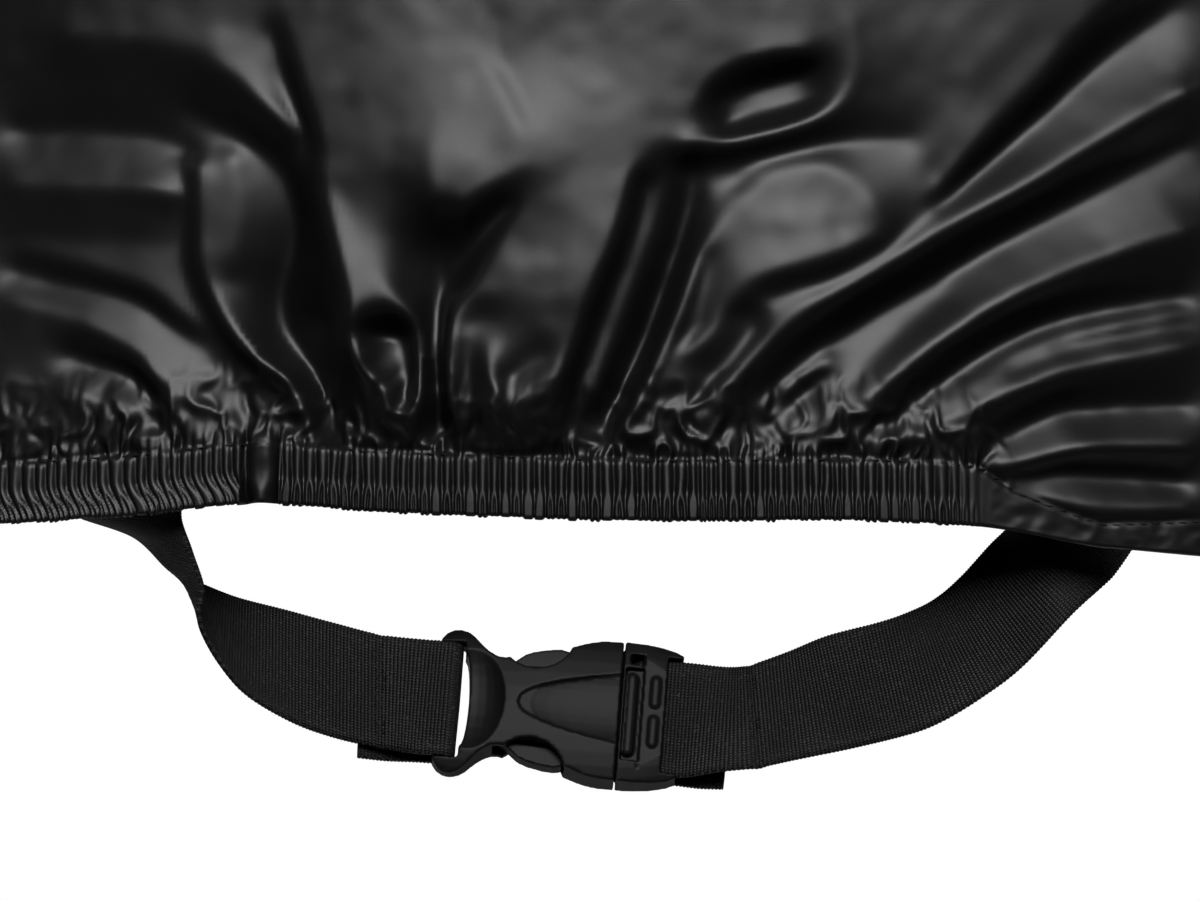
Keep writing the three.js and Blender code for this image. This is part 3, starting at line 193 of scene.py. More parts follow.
def centre_form(way, across):
    base = on_centre(way, across)
    lowest = on_centre(np.zeros(len(way)), across)
    return on_hem_line(base, lowest, base[:, 0], np.minimum(way, FRONT_TOP))


def side_form(place, height, side):
    base = on_side(place, height)
    lowest = on_side(place, 0 * height)
    at_front = (place <= 1)[:, None]
    base = np.where(at_front, on_hem_line(base, lowest, side * base[:, 0], height), base)
    return base * (side, 1, 1)


def facing(form, first, second, steps):
    """The direction square to a form, from two small steps on it."""
    a = form(first + steps[0], second) - form(first - steps[0], second)
    b = form(first, second + steps[1]) - form(first, second - steps[1])
    out = np.cross(a, b)
    return out / np.linalg.norm(out, axis=1)[:, None]


print("hem heights at -120, 0 and 120 mm:", np.round(hem_height(np.array([-120.0, 0, 120])), 1))

# %% [markdown]
# ## Folds as taut cloth between lines
# Gathered cloth is taut between the crests and valleys of its folds, much as a tent is taut between its
# poles. So only the crests and valleys are drawn, as lines with the height by which the cloth stands out. A
# raster over the front holds those lines still and lets every other point settle at the mean of its
# neighbours. Then it is evened a little, which rounds the crests as a coated cloth does.

# %% Draw the crests and valleys of the front
FOLD_LINES = {  # (place across, height over the datum, how far the cloth stands out)
    "corner edge": [(-137.5, 117.5, 3), (-118.5, 117, 3), (-104, 113.5, 3), (-94, 106, 3), (-86.5, 99.5, 3),
        (-80.5, 94, 2)],
    "facet top": [(-152, 95, -4), (-121, 93.5, -4), (-113, 92, -4), (-108, 89, -5)],
    "facet low": [(-152, 81.5, 1), (-121, 80.5, 1), (-114, 79.5, 1), (-108.5, 78.5, 0)],
    "left shelf": [(-152, 68, -2), (-121, 67.5, -2), (-110, 66.5, -3)],
    "left shelf edge": [(-152, 66.5, -2), (-137.5, 62.5, -1), (-121, 56.5, -1), (-113, 50.5, -1),
        (-106, 45, -2)],
    "left tube top": [(-152, 60.5, -4), (-137.5, 57, -4), (-121, 53.5, -4), (-112, 48, -4),
        (-104, 41.5, -4), (-98.5, 35, -4), (-94, 27, -3), (-92, 20.5, -2)],
    "left tube low": [(-152, 52.5, 0), (-137.5, 48.5, 0), (-121, 40, 1), (-114, 31, 2), (-108.5, 24, 2),
        (-106, 19, 1)],
    "under left tube": [(-137.5, 39.5, -4), (-121, 34, -4), (-116.5, 27.5, -3), (-113, 20.5, -2)],
    "left corner": [(-137.5, 30, 1), (-121, 26, 1), (-118, 21.5, 1), (-116.5, 18.5, 0)],
    "crease valley": [(-107.5, 84.5, -2), (-107.5, 74.5, -3), (-107.5, 63.5, -3), (-104, 52.5, -3),
        (-98.5, 43, -3), (-91.5, 35, -3), (-85, 29.5, -2), (-81, 22, -2)],
    "crease crest": [(-105.5, 86.5, 1), (-105.5, 74.5, 1), (-105.5, 62.5, 1), (-101.5, 53.5, 1),
        (-96, 45, 2), (-89, 38, 3), (-82, 34.5, 3), (-78, 27.5, 3), (-75, 19.5, 1)],
    "crease plane": [(-96.5, 88.5, -1), (-95, 76, -1), (-96.5, 63.5, -1), (-97, 57, -3)],
    "black axis": [(-107.5, 100, -3), (-95.5, 92, -4), (-86.5, 86.5, -5.5), (-82, 76, -7.5),
        (-82.5, 66.5, -9.5), (-86.5, 57, -11.5), (-87, 47.5, -13), (-82, 38.5, -13), (-76.5, 29, -12),
        (-73.5, 19.5, -8)],
    "black side": [(-75.5, 49, -8), (-73.5, 36.5, -8), (-70.5, 27, -6), (-69, 20, -3)],
    "dark crease": [(-86, 119, -1), (-85, 114.5, -1), (-81.5, 103, -2), (-78.5, 95, -2), (-76.5, 89.5, -1)],
    "lit edge": [(-83.5, 119, 2), (-82, 114.5, 2), (-79, 104.5, 3), (-76.5, 97, 3.5), (-74.5, 91, 4)],
    "long crest": [(-74.5, 91, 4), (-73.5, 81, 5.5), (-71, 70, 7.5), (-67.5, 58.5, 9.5), (-65.5, 49, 11),
        (-65, 41.5, 11), (-63.5, 37, 10.5), (-59.5, 33, 9), (-58.5, 27, 7), (-60, 21, 3)],
    "apex ridge": [(-74.5, 91, 4), (-69.5, 92.5, 4.5), (-61.5, 89.5, 6), (-53.5, 85.5, 7.5), (-47, 78.5, 9)],
    "under ridge": [(-69, 78.5, 5), (-64.5, 70, 6), (-60.5, 63.5, 6.5)],
    "inner crest": [(-60.5, 63.5, 6.5), (-58, 57, 7.5), (-54.5, 52.5, 8), (-49.5, 47.5, 8)],
    "arch rim": [(-64.5, 45, 10), (-62, 49.5, 9), (-58, 51.5, 8.5), (-54.5, 50, 8), (-49.5, 47.5, 8)],
    "arch pocket": [(-62.5, 44, -1), (-60, 44.5, -2), (-56.5, 44, -3), (-53, 44, -2)],
    "arch tongue": [(-61.5, 36.5, 3), (-56.5, 31.5, 5), (-54.5, 27, 5)],
    "inner edge": [(-49.5, 47.5, 8), (-48.5, 40.5, 8.5), (-48.5, 30, 8.5), (-51, 24, 6.5), (-53.5, 20, 2)],
    "inner edge side": [(-52, 41.5, 0), (-52.5, 33.5, -1), (-53.5, 27, 0)],
    "inner pocket": [(-50.5, 63.5, 0), (-47.5, 57, -2), (-47, 51, -3)],
    "groove": [(-45, 68, -1), (-46, 60.5, -4), (-46, 49, -7), (-46, 36.5, -9), (-45.5, 24.5, -9),
        (-45, 19.5, -6)],
    "centre line": [(-39.5, 122, 3), (-39.5, 112.5, 4), (-39.5, 104.5, 5.5), (-40, 95, 7.5),
        (-40.5, 85.5, 9.5), (-40.5, 75.5, 10)],
    "left of centre": [(-45, 122, 3), (-45, 106.5, 5), (-46, 97, 7), (-46.5, 85.5, 9.5), (-45.5, 76, 10)],
    "right of centre": [(-37.5, 122, 3), (-37.5, 106.5, 5), (-37, 95, 7.5), (-36.5, 85.5, 9.5)],
    "facet crease": [(-34.5, 122, 3), (-33.5, 112, 4), (-29.5, 104, 6), (-25.5, 95, 8), (-24, 84, 9)],
    "facet crease side": [(-32, 122, 2), (-31, 112.5, 3), (-27, 104.5, 4.5), (-23.5, 96, 6.5)],
    "apex edge": [(-24, 84, 9), (-29.5, 80.5, 9.5), (-36, 76.5, 10), (-39, 73.5, 9.5)],
    "triangle": [(-26, 76.5, 3), (-30.5, 73, 2), (-35.5, 67.5, 0), (-39.5, 61, -2), (-41.5, 55, -3)],
    "leaf stem": [(-24, 83, 8.5), (-26.5, 74.5, 6.5), (-31.5, 64.5, 6), (-36.5, 57, 6), (-41, 52, 6)],
    "stem plane": [(-18.5, 68, 7), (-25, 60.5, 7.5), (-26.5, 54.5, 8)],
    "leaf left": [(-41, 51.5, 6), (-42.5, 46, 8), (-43.5, 38, 9), (-43, 29.5, 9), (-41.5, 22.5, 5)],
    "leaf rim": [(-40.5, 51.5, 6), (-35.5, 53.5, 7), (-29.5, 53, 7.5), (-23.5, 49.5, 8), (-18, 45, 8.5),
        (-15, 41.5, 8.5)],
    "leaf fold": [(-39, 46, 5), (-35, 47.5, 5), (-31, 48, 5.5)],
    "leaf pocket": [(-37.5, 41.5, 5), (-38, 33.5, 4), (-38, 24.5, 3)],
    "leaf belly": [(-33, 39.5, 8), (-31, 30, 10), (-31, 24, 9)],
    "leaf right": [(-15, 41.5, 8.5), (-17, 33.5, 9), (-21.5, 25.5, 8), (-26.5, 20, 5)],
    "leaf inside": [(-28.5, 32.5, 5), (-23.5, 37, 5.5), (-18.5, 39, 6.5)],
    "plane middle": [(-6, 114.5, 3), (-7, 98.5, 5), (-10.5, 81, 7), (-12.5, 63.5, 8.5), (-14, 52.5, 9.5)],
    "overlap crest": [(35.5, 119, 4), (28.5, 111, 4), (22.5, 106.5, 4), (17, 100, 4), (11.5, 94.5, 4.5),
        (6, 88, 5), (2.5, 83, 6)],
    "overlap edge": [(2.5, 83, 6.5), (1, 74.5, 7.5), (-2, 64.5, 8.5), (-6, 55, 9), (-10, 44, 9),
        (-14, 31.5, 8), (-16, 22, 4)],
    "overlap line": [(4.5, 82, 0), (2.5, 73.5, 0), (-1, 63.5, 0), (-4.5, 54, 0), (-8.5, 43, 0),
        (-13, 31, 0), (-15, 21.5, 0)],
    "grey band": [(7, 79.5, 1), (5.5, 71.5, 1), (2.5, 62, 1), (-1.5, 52, 1), (-5.5, 41, 1), (-10, 29.5, 1)],
    "band crest": [(11, 84, 1), (8.5, 74.5, 1), (6, 65.5, 1), (2, 54.5, 1), (-2.5, 42, 1), (-7, 29, 1)],
    "black valley": [(15.5, 86.5, -3), (16, 76, -5), (13.5, 66.5, -7), (9.5, 54.5, -9), (5, 42, -11),
        (-0.5, 31, -11), (-5, 20.5, -8)],
    "dome edge": [(44, 86.5, 2), (38.5, 85, 2), (31.5, 80, 2), (24.5, 73.5, 2), (19.5, 66.5, 3),
        (16, 60, 4), (12.5, 49, 5), (8, 38.5, 5), (3, 28.5, 4), (-2, 19.5, 2)],
    "dome side": [(20, 79, -1), (28.5, 82, -1)],
    "second lip": [(20, 63.5, 1), (18.5, 55.5, 1), (14.5, 46, 1), (9.5, 35.5, 1), (5, 26, 1)],
    "turn edge": [(28.5, 111, 5), (35.5, 111.5, 5), (45.5, 112.5, 5)],
    "turn pocket": [(22.5, 100.5, -2), (28.5, 104, -4), (34, 106.5, -5), (40, 108, -5), (45.5, 109, -4)],
    "turn inside": [(24.5, 95.5, -3), (34, 98, -3.5), (42, 100.5, -3.5), (47.5, 104, -2)],
    "turn crest": [(55, 120.5, 4), (55.5, 112.5, 4), (54.5, 104.5, 4), (50.5, 99.5, 4), (41, 95, 5),
        (27.5, 91.5, 5), (14, 89.5, 6)],
    "shadow band": [(15.5, 86.5, -2), (21, 85.5, -1), (29, 86.5, -1), (40, 89, -1), (51.5, 91.5, -1),
        (62.5, 92.5, -1), (70.5, 92, 0)],
    "turn outside": [(59, 119, 3), (60, 109.5, 3), (58.5, 101.5, 2)],
    "dome top": [(44, 86.5, 2), (48.5, 85.5, 3), (55, 81.5, 4), (60.5, 74.5, 5), (63, 67.5, 5)],
    "dome middle": [(38.5, 71.5, 4.5), (46.5, 73, 4.5), (53, 70, 4.5)],
    "dome low": [(22, 52.5, 3), (28.5, 56, 5), (38.5, 59.5, 6.5), (49.5, 62.5, 6.5), (61, 67.5, 6)],
    "dome right": [(74.5, 89, 2), (76, 81.5, 2), (74, 77, 3)],
    "upper right edge": [(126, 133.5, 4), (110, 117.5, 4), (102, 106.5, 4), (94, 98.5, 4), (84.5, 88, 4),
        (76.5, 79, 4)],
    "dark ray": [(135.5, 125.5, -3), (122.5, 116, -4), (113, 108, -4), (102, 98, -3), (91.5, 89, -3),
        (82, 81, -1), (76, 76, 0)],
    "first hinge": [(74.5, 74.5, 2), (63, 64.5, 3), (51.5, 58, 3), (38.5, 54.5, 3), (28.5, 51, 2),
        (18.5, 44.5, 1), (11, 35, 1)],
    "first ray": [(138.5, 104.5, 6), (116.5, 92, 6), (100.5, 82, 6), (84.5, 73.5, 6), (68.5, 64, 6),
        (56, 56.5, 6), (45, 50, 6), (34, 41.5, 5), (23.5, 31, 4), (15.5, 22, 2)],
    "black ray": [(138.5, 91.5, -2), (116.5, 80, -3), (100.5, 71.5, -4), (86, 63.5, -5), (71, 55, -5),
        (59, 48, -5), (46.5, 39.5, -4), (35.5, 30, -3), (26.5, 20.5, -1)],
    "pocket leaf top": [(7, 30, 2), (11.5, 36.5, 3), (19.5, 44.5, 4), (26.5, 50.5, 4), (32, 52.5, 4)],
    "pocket leaf tip": [(32, 52.5, 4), (34.5, 51, 4), (35, 47.5, 3)],
    "pocket leaf low": [(31.5, 46, 0), (25, 37, 0), (17, 28, 0)],
    "leaf tip pocket": [(30.5, 50.5, 1), (29, 44.5, 1), (24.5, 38, 1)],
    "thin fold": [(49.5, 38, 0), (40.5, 31.5, 0), (31, 25.5, 0), (25.5, 20.5, 0)],
    "under thin fold": [(48, 34, -4), (40, 27, -4), (34, 20.5, -2)],
    "grey fold": [(78.5, 54, -4), (69.5, 47.5, -3), (61.5, 39.5, -2), (54.5, 33.5, -1), (47, 27, 0),
        (40.5, 20.5, 0)],
    "second ray": [(138.5, 70, 5), (116.5, 62.5, 5), (100.5, 56, 5), (89.5, 50.5, 5), (79, 44, 5),
        (71, 38, 5), (63, 31, 4), (54.5, 24, 3), (48.5, 20, 1)],
    "second black ray": [(138.5, 54, -3), (116.5, 50, -4), (105, 47.5, -5), (94, 42.5, -5), (83, 36, -4),
        (72.5, 28.5, -3), (63, 21.5, -1)],
    "third crest": [(138.5, 49, 1), (116.5, 45, 1), (105, 42.5, 0), (94, 38, 0), (83, 31.5, 0),
        (72.5, 25, 0)],
    "third hinge": [(138.5, 47.5, -1), (116.5, 43.5, -1), (105, 40.5, -1), (94, 36, -1)],
    "third ray": [(138.5, 41.5, 4), (116.5, 37, 4), (105, 34.5, 4), (94, 30, 4), (83, 25, 3), (72, 20, 2),
        (61, 17, 1)],
    "third black ray": [(138.5, 27, -2), (116.5, 26.5, -3), (107, 25.5, -3), (99, 22, -3), (91.5, 18, -2)],
    "fourth ray": [(138.5, 16.5, 4), (116.5, 16.5, 4), (102.5, 14, 3), (91.5, 10.5, 2)],
    "wedge": [(138.5, 8, -3), (116.5, 10, -3), (100.5, 10, -2), (91.5, 9, -1)],
    "plain hem crest": [(138.5, 1.5, 2), (116.5, 1.5, 2), (102, 4, 1)],
    "strip": [(17.5, 74.5, -2), (15.5, 65, -2), (11.5, 53.5, -2), (7, 42, -2), (1.5, 30, -2),
        (-3, 20.5, 0)],
}
print(len(FOLD_LINES), "lines with", sum(len(path) for path in FOLD_LINES.values()), "points")

# %% Lay out the raster
CELL = 0.75  # mm between the points of the raster
FRONT_HALF = UPRIGHT_LINES[0, 0, 0]
RASTER_LOW, RASTER_TOP = -6.0, 192.0
HEM_DEPTH = 15.0  # from the lower edge to the stitch line of the elastic
CASING = {  # the depth of the hem across the front: narrower where there is no elastic in it
    "x": (86, 95, 117, 150, 170),
    "depth": (HEM_DEPTH, 10, 6, 10, HEM_DEPTH),
}
SWEEPS, EVENINGS = 500, 14  # to settle the raster, and to round its crests
PULL = 1.93  # over-relaxation, so that the raster settles in few sweeps
raster_x = np.arange(-FRONT_HALF, FRONT_HALF + CELL / 2, CELL)
raster_height = np.arange(RASTER_LOW, RASTER_TOP + CELL / 2, CELL)
print("the raster has", len(raster_x), "by", len(raster_height), "points")


# %% Hold the lines and let the rest settle
def casing_depth(x):
    return np.interp(x, CASING["x"], CASING["depth"])


def mean_of_neighbours(values):
    return (values[:-2, 1:-1] + values[2:, 1:-1] + values[1:-1, :-2] + values[1:-1, 2:]) / 4


def settled(lines):
    """The raster with the lines held still and every other point at the mean of its neighbours."""
    values = np.zeros((len(raster_height), len(raster_x)))
    held = np.zeros(values.shape, bool)
    for path in lines.values():
        points = np.array([path[0], *path, path[-1]], float)
        for k in range(len(path) - 1):
            count = int(np.hypot(*(points[k + 2] - points[k + 1])[:2]) / (CELL / 2)) + 2
            x, height, out = through(*points[k:k + 4], np.linspace(0, 1, count)).T
            column = np.clip(np.rint((x + FRONT_HALF) / CELL), 0, len(raster_x) - 1).astype(int)
            row = np.clip(np.rint((height - RASTER_LOW) / CELL), 0, len(raster_height) - 1).astype(int)
            values[row, column], held[row, column] = out, True
    in_casing = raster_height[:, None] < hem_height(raster_x) + casing_depth(raster_x)
    edge = np.zeros(values.shape, bool)
    edge[[0, -1]], edge[:, [0, -1]] = True, True
    values[in_casing | edge] = 0
    held |= in_casing | edge
    chequer = np.add.outer(np.arange(values.shape[0]), np.arange(values.shape[1])) % 2 == 1
    moving = [(PULL * (colour & ~held))[1:-1, 1:-1] for colour in (chequer, ~chequer)]
    inner = values[1:-1, 1:-1]
    for sweep in range(SWEEPS):
        for pulled in moving:
            inner += pulled * (mean_of_neighbours(values) - inner)
    for sweep in range(EVENINGS):
        mean = values.copy()
        mean[1:-1, 1:-1] = mean_of_neighbours(values)
        values = np.where(in_casing | edge, values, (values + mean) / 2)
    return values


fold_raster = settled(FOLD_LINES)
print("folds stand out from", round(fold_raster.min(), 1), "to", round(fold_raster.max(), 1), "mm")


def read_raster(values, x, height):
    u = np.clip((x + FRONT_HALF) / CELL, 0, len(raster_x) - 1.001)
    v = np.clip((height - RASTER_LOW) / CELL, 0, len(raster_height) - 1.001)
    column, row = u.astype(int), v.astype(int)
    u, v = u - column, v - row
    low = values[row, column] * (1 - u) + values[row, column + 1] * u
    high = values[row + 1, column] * (1 - u) + values[row + 1, column + 1] * u
    return low * (1 - v) + high * v

# %% [markdown]
# ## Chance, but the same each time
# Real gathers are never all alike. A table of random numbers with a fixed seed makes them differ, and gives
# the same cover on every run. One helper reads the table by number. Two more join its numbers into gentle
# waves along a line and over a face, and the last turns the waves into creases.

# %% Make the table of chance
CHANCE = np.random.default_rng(11).random((64, 256))


def chance(number, row):
    return CHANCE[row % 64, np.asarray(number).astype(int) % 256]


def wander(x, size, row):
    """A gentle wave along a line, from -1 to 1, with hills about as wide as size."""
    cell = np.floor(x / size)
    share = smooth(x / size - cell)
    return (chance(cell, row) * (1 - share) + chance(cell + 1, row) * share) * 2 - 1


def dimples(u, v, size, row):
    """Gentle hills over a face, from -1 to 1."""
    u, v = u / size, v / size
    i, j = np.floor(u).astype(int), np.floor(v).astype(int)
    s, t = smooth(u - i), smooth(v - j)
    corner = [[CHANCE[(j + b + row * 7) % 64, (i + a + row * 31) % 256] for a in (0, 1)] for b in (0, 1)]
    low, high = (side[0] * (1 - s) + side[1] * s for side in corner)
    return (low * (1 - t) + high * t) * 2 - 1


def creases(u, v, size, row):
    """Sharp ridges between soft valleys, from -1 to 1."""
    return 1 - np.abs(dimples(u, v, size, row) * 0.7 + dimples(v, u, size / 2, row + 3) * 0.3) * 2


print("table of chance:", CHANCE.shape, "numbers with a mean of", round(CHANCE.mean(), 3))

# %% [markdown]
# ## The gathered casing
# The hem is a casing with an elastic in it. The elastic makes the cloth stand up in narrow pleats, close
# side by side. A stitch line 15 mm up pinches them. On their way down they deepen, and below the elastic
# most of them open into two small lips, which makes a ruffled edge. One function gives, for every place and
# height on the casing, how far the cloth stands out and how far it hangs down.

# %% Shape the pleats
FRONT_ELASTIC = {"from": -169.0, "to": 89.0, "pitch": 2.8}
REAR_ELASTIC = {"from": -84.0, "to": 84.0, "pitch": 2.8}
FLAT_PATCH = (-93.5, -84.5)  # where the ends of the elastic are tacked together
PLEAT_DEPTH = 4.6  # mm of depth for each pitch to the side of a ridge
ROUND_TOP, FLAT_TOP = 0.09, 0.1  # the rounding of a ridge and half its flat width, in pitches
LEAN = 3.6  # mm that the pleats to the left of the flat patch lean over
OPEN_FROM, OPEN_OVER = 6.4, 3.6  # mm over the lower edge where a pleat begins to open, and over what height
LIP_SPREAD = 0.25  # half the way between the two lips, in pitches
LIPS_SHARE = 0.7  # of the pleats open into two lips, and the rest into a flat triangle


def tent(away):
    """A ridge with straight flanks and a narrow round top: 0 on top, and less on both sides."""
    return ROUND_TOP - np.sqrt(away ** 2 + ROUND_TOP ** 2)


def pleats(x, up, elastic):
    """How far the pleats stand out and hang down, at places x and heights up over the lower edge."""
    is_front = elastic is FRONT_ELASTIC
    leaning = smooth((-86 - x) / 8) * LEAN if is_front else 0.0
    slanted = x - leaning * smooth((8.5 - up) / 8.5) + 0.25 * wander(up + 15 * wander(x, 7, 1), 6, 2)
    phase = (slanted - elastic["from"]) / elastic["pitch"] + 0.36 * wander(slanted, 8, 3)
    number = np.floor(phase + 0.5)
    u = phase - number
    open_up = smooth((OPEN_FROM + 1.2 * chance(number, 4) - up) / OPEN_OVER)
    open_up *= 0.8 + 0.2 * chance(number, 5)
    spread = LIP_SPREAD * open_up
    is_flat = chance(number, 6) > LIPS_SHARE
    away = np.where(is_flat, np.maximum(np.abs(u) - spread, 0), np.abs(np.abs(u) - spread))
    lips = tent(np.maximum(away - FLAT_TOP + 0.06 * open_up, 0))
    down = np.clip(1 - up / HEM_DEPTH, 0, 1)  # the pleats deepen towards the lower edge
    pinch = 1 - 0.12 * np.exp(-(((up - HEM_DEPTH) / 0.7) ** 2))
    reach = 2.0 + 6.5 * chance(number, 7) ** 2
    above = np.where(up > HEM_DEPTH, np.exp(-np.maximum(up - HEM_DEPTH, 0) / reach), 1)
    ends = smooth((x - elastic["from"]) / 5) * smooth((elastic["to"] - x) / 14)
    size = 0.85 + 0.3 * chance(number, 8)
    out = (PLEAT_DEPTH * size * lips * (0.45 + 1.4 * down) + 0.9 + 1.1 * down) * pinch * above
    hang = (4.5 * lips + 0.9 * open_up) * (0.3 + 0.7 * chance(number, 9))
    if is_front:
        middle, half = sum(FLAT_PATCH) / 2, (FLAT_PATCH[1] - FLAT_PATCH[0]) / 2
        share = np.abs(x - middle) / half
        on_patch = 1 - smooth((share - 0.92) / 0.16)
        flare = smooth((6 - up) / 5) * 0.7 * np.cos(np.clip(share, 0, 1) * 4.5)
        swell = PLEAT_DEPTH * (0.1 - 0.9 * np.clip(share, 0, 1) ** 3) + flare
        swell += 0.3 * dimples(x, up, 4, 22)
        out = out * (1 - on_patch) + swell * above * on_patch
        hang = hang * (1 - on_patch)
    return out * ends, hang * ends


pleat_count = (FRONT_ELASTIC["to"] - FRONT_ELASTIC["from"]) / FRONT_ELASTIC["pitch"]
print("about", round(pleat_count), "pleats in the front hem")

# %% [markdown]
# ## Cut the centre panel and lay it over the form
# The centre panel is cut flat, at its real size, as a grid. `create_grid` makes it, and `subdivide_edges`
# divides it finer and finer towards the gathered hem, where the camera looks. Then every point is moved
# from its place on the flat panel to its place on the hanging cover. The lowest rows turn up inside as the
# hem's allowance.

# %% Measure the way along the panel
ways = np.linspace(0, REAR_HEM, 1401)
middle_line = centre_form(ways, 0 * ways)
lengths = np.concatenate([[0], np.cumsum(np.linalg.norm(np.diff(middle_line, axis=0), axis=1))])
PANEL_LENGTH = lengths[-1]
TURN_UP = 9.0  # mm of the allowance that is turned up inside the hem
CLOTH_LAYER = 1.3  # mm between the outer cloth and the cloth turned up behind it
HEM_BEND = 0.9  # mm to both sides of the lower edge in which the cloth turns over
HEM_ROUNDING = 0.5
WELT_WIDTH = 8.0  # of the felled seam along both edges of the panel
WELT_RISE, CASING_RISE = 0.8, 0.5
FOLDS_UP_TO = 1.15  # the way up the front where the drawn folds end
HANG_REACH = 4.0  # mm over the lower edge up to which the lips hang down
print("the centre panel is", round(PANEL_LENGTH), "mm long from hem to hem")


# %% Say where each point of the panel comes to lie
def folds_of_front(x, height, up):
    """Folds over the front, with crumples close to the hem and a faint unevenness all over."""
    large = read_raster(fold_raster, x, height)
    above = up - casing_depth(x)
    near_hem = smooth((above + 2) / 3) * smooth((25 - above) / 22) * smooth((97 - x) / 8)
    bent = x + 2.5 * dimples(x, height, 6, 4)
    small = 1.6 * near_hem * (creases(bent * 1.5, height * 0.8, 6.0, 5) - 0.5)
    in_front = smooth((above + 3) / 12) * smooth((FRONT_HALF - np.abs(x)) / 20)
    soft = 0.35 * dimples(x, height, 16, 6) + 0.16 * dimples(x + height, height - x, 8, 7)
    plain_hem = smooth((x - 88) / 4) * smooth((3 - above) / 4)
    crumples = 0.3 * (creases(x * 0.8, height * 1.3, 5, 23) - 0.5) + 0.12 * dimples(x, height, 3, 24)
    return large + small + soft * in_front + crumples * plain_hem


def folds_of_top(x, along, across):
    """Long shallow folds that run over the top and down the rear."""
    bent = along + 30 * dimples(x, along, 60, 8)
    fold = 5.5 * (creases(x * 0.9, bent * 0.35, 46, 9) - 0.45) + 1.2 * dimples(x, along, 24, 10)
    return fold * smooth((1 - np.abs(across)) / 0.3)


def lay_centre_panel(across_mm, along_mm, proud=0.0):
    """Moves points of the flat centre panel to their places on the cover, in millimetres over the ground."""
    across = np.clip(across_mm / FRONT_HALF, -1, 1)
    is_rear = along_mm > PANEL_LENGTH / 2
    to_edge = np.where(is_rear, PANEL_LENGTH - along_mm, along_mm)
    inside = smooth((HEM_BEND - to_edge) / (2 * HEM_BEND))
    from_hem = np.hypot(along_mm, HEM_ROUNDING) - HEM_ROUNDING
    from_rear = np.hypot(PANEL_LENGTH - along_mm, HEM_ROUNDING) - HEM_ROUNDING
    along = np.where(is_rear, PANEL_LENGTH - from_rear, from_hem)
    way = np.interp(along, lengths, ways)
    base = centre_form(way, across)
    inner_way, inner_across = np.clip(way, 0.02, REAR_HEM - 0.02), np.clip(across, -0.995, 0.995)
    out = facing(centre_form, inner_way, inner_across, (0.01, 0.005))
    outwards = np.sum(out * [0, -1, 0.2], axis=1) * np.where(way > REAR_TOP - 1, -1, 1)
    out *= np.where(outwards > 0, 1, -1)[:, None]
    x, height = base[:, 0], base[:, 2] - HEM_DATUM
    up = height - hem_height(x)
    front_out, front_hang = pleats(x, np.maximum(up, 0), FRONT_ELASTIC)
    rear_out, rear_hang = pleats(x, from_rear, REAR_ELASTIC)
    on_front = way < FOLDS_UP_TO
    lift = np.where(on_front, folds_of_front(x, height, up) + front_out, 0)
    # The folds of the top fade in high up the front, and out above the rear hem.
    over = smooth((along - 190) / 120) * smooth((PANEL_LENGTH - along - 18) / 60)
    lift += folds_of_top(x, along, across) * over
    lift += np.where(is_rear, rear_out * smooth((40 - from_rear) / 20), 0)
    below_stitches = np.where(is_rear, HEM_DEPTH - from_rear, casing_depth(x) - from_hem)
    casing = smooth((below_stitches + 0.6) / 1.2) - 0.9 * np.exp(-((below_stitches / 0.8) ** 2))
    welt = smooth((np.abs(across_mm) - FRONT_HALF + WELT_WIDTH) / 1.2)
    lift += CASING_RISE * casing + WELT_RISE * welt + proud - CLOTH_LAYER * inside
    points = base + out * lift[:, None]
    points[:, 2] -= np.where(on_front, front_hang * smooth((HANG_REACH - up) / HANG_REACH), 0)
    points[:, 2] -= np.where(is_rear, rear_hang * smooth((HANG_REACH - from_rear) / HANG_REACH), 0)
    return points


# %% Cut the panel flat
def flat_panel(columns, rows, width, length):
    """A flat grid of cloth, its middle line on x = 0 and its hem on y = 0, in millimetres."""
    cloth = bmesh.new()
    bmesh.ops.create_grid(cloth, x_segments=columns, y_segments=rows, size=1)
    bmesh.ops.translate(cloth, vec=(0, 1, 0), verts=cloth.verts)
    bmesh.ops.scale(cloth, vec=(width / 2, length / 2, 1), verts=cloth.verts)
    return cloth


def divide(cloth, wanted, across_only=False):
    """Divides the edges with both ends where wanted(x, y) holds. It can leave the upright edges whole."""
    inside = {v for v in cloth.verts if wanted(v.co.x, v.co.y)}
    edges = [e for e in cloth.edges if e.verts[0] in inside and e.verts[1] in inside
             and not (across_only and abs(e.verts[0].co.x - e.verts[1].co.x) < 1e-4)]
    bmesh.ops.subdivide_edges(cloth, edges=edges, cuts=1, use_grid_fill=True)


def from_end(y):
    return PANEL_LENGTH - y


CELL_OF_CLOTH = 11.25
PLEATED = (-160, 92)  # from and to across, where the pleats need the finest cells
panel_rows = round((PANEL_LENGTH + 2 * TURN_UP) / CELL_OF_CLOTH)
cloth = flat_panel(30, panel_rows, 2 * FRONT_HALF, PANEL_LENGTH + 2 * TURN_UP)
bmesh.ops.translate(cloth, vec=(0, -TURN_UP, 0), verts=cloth.verts)
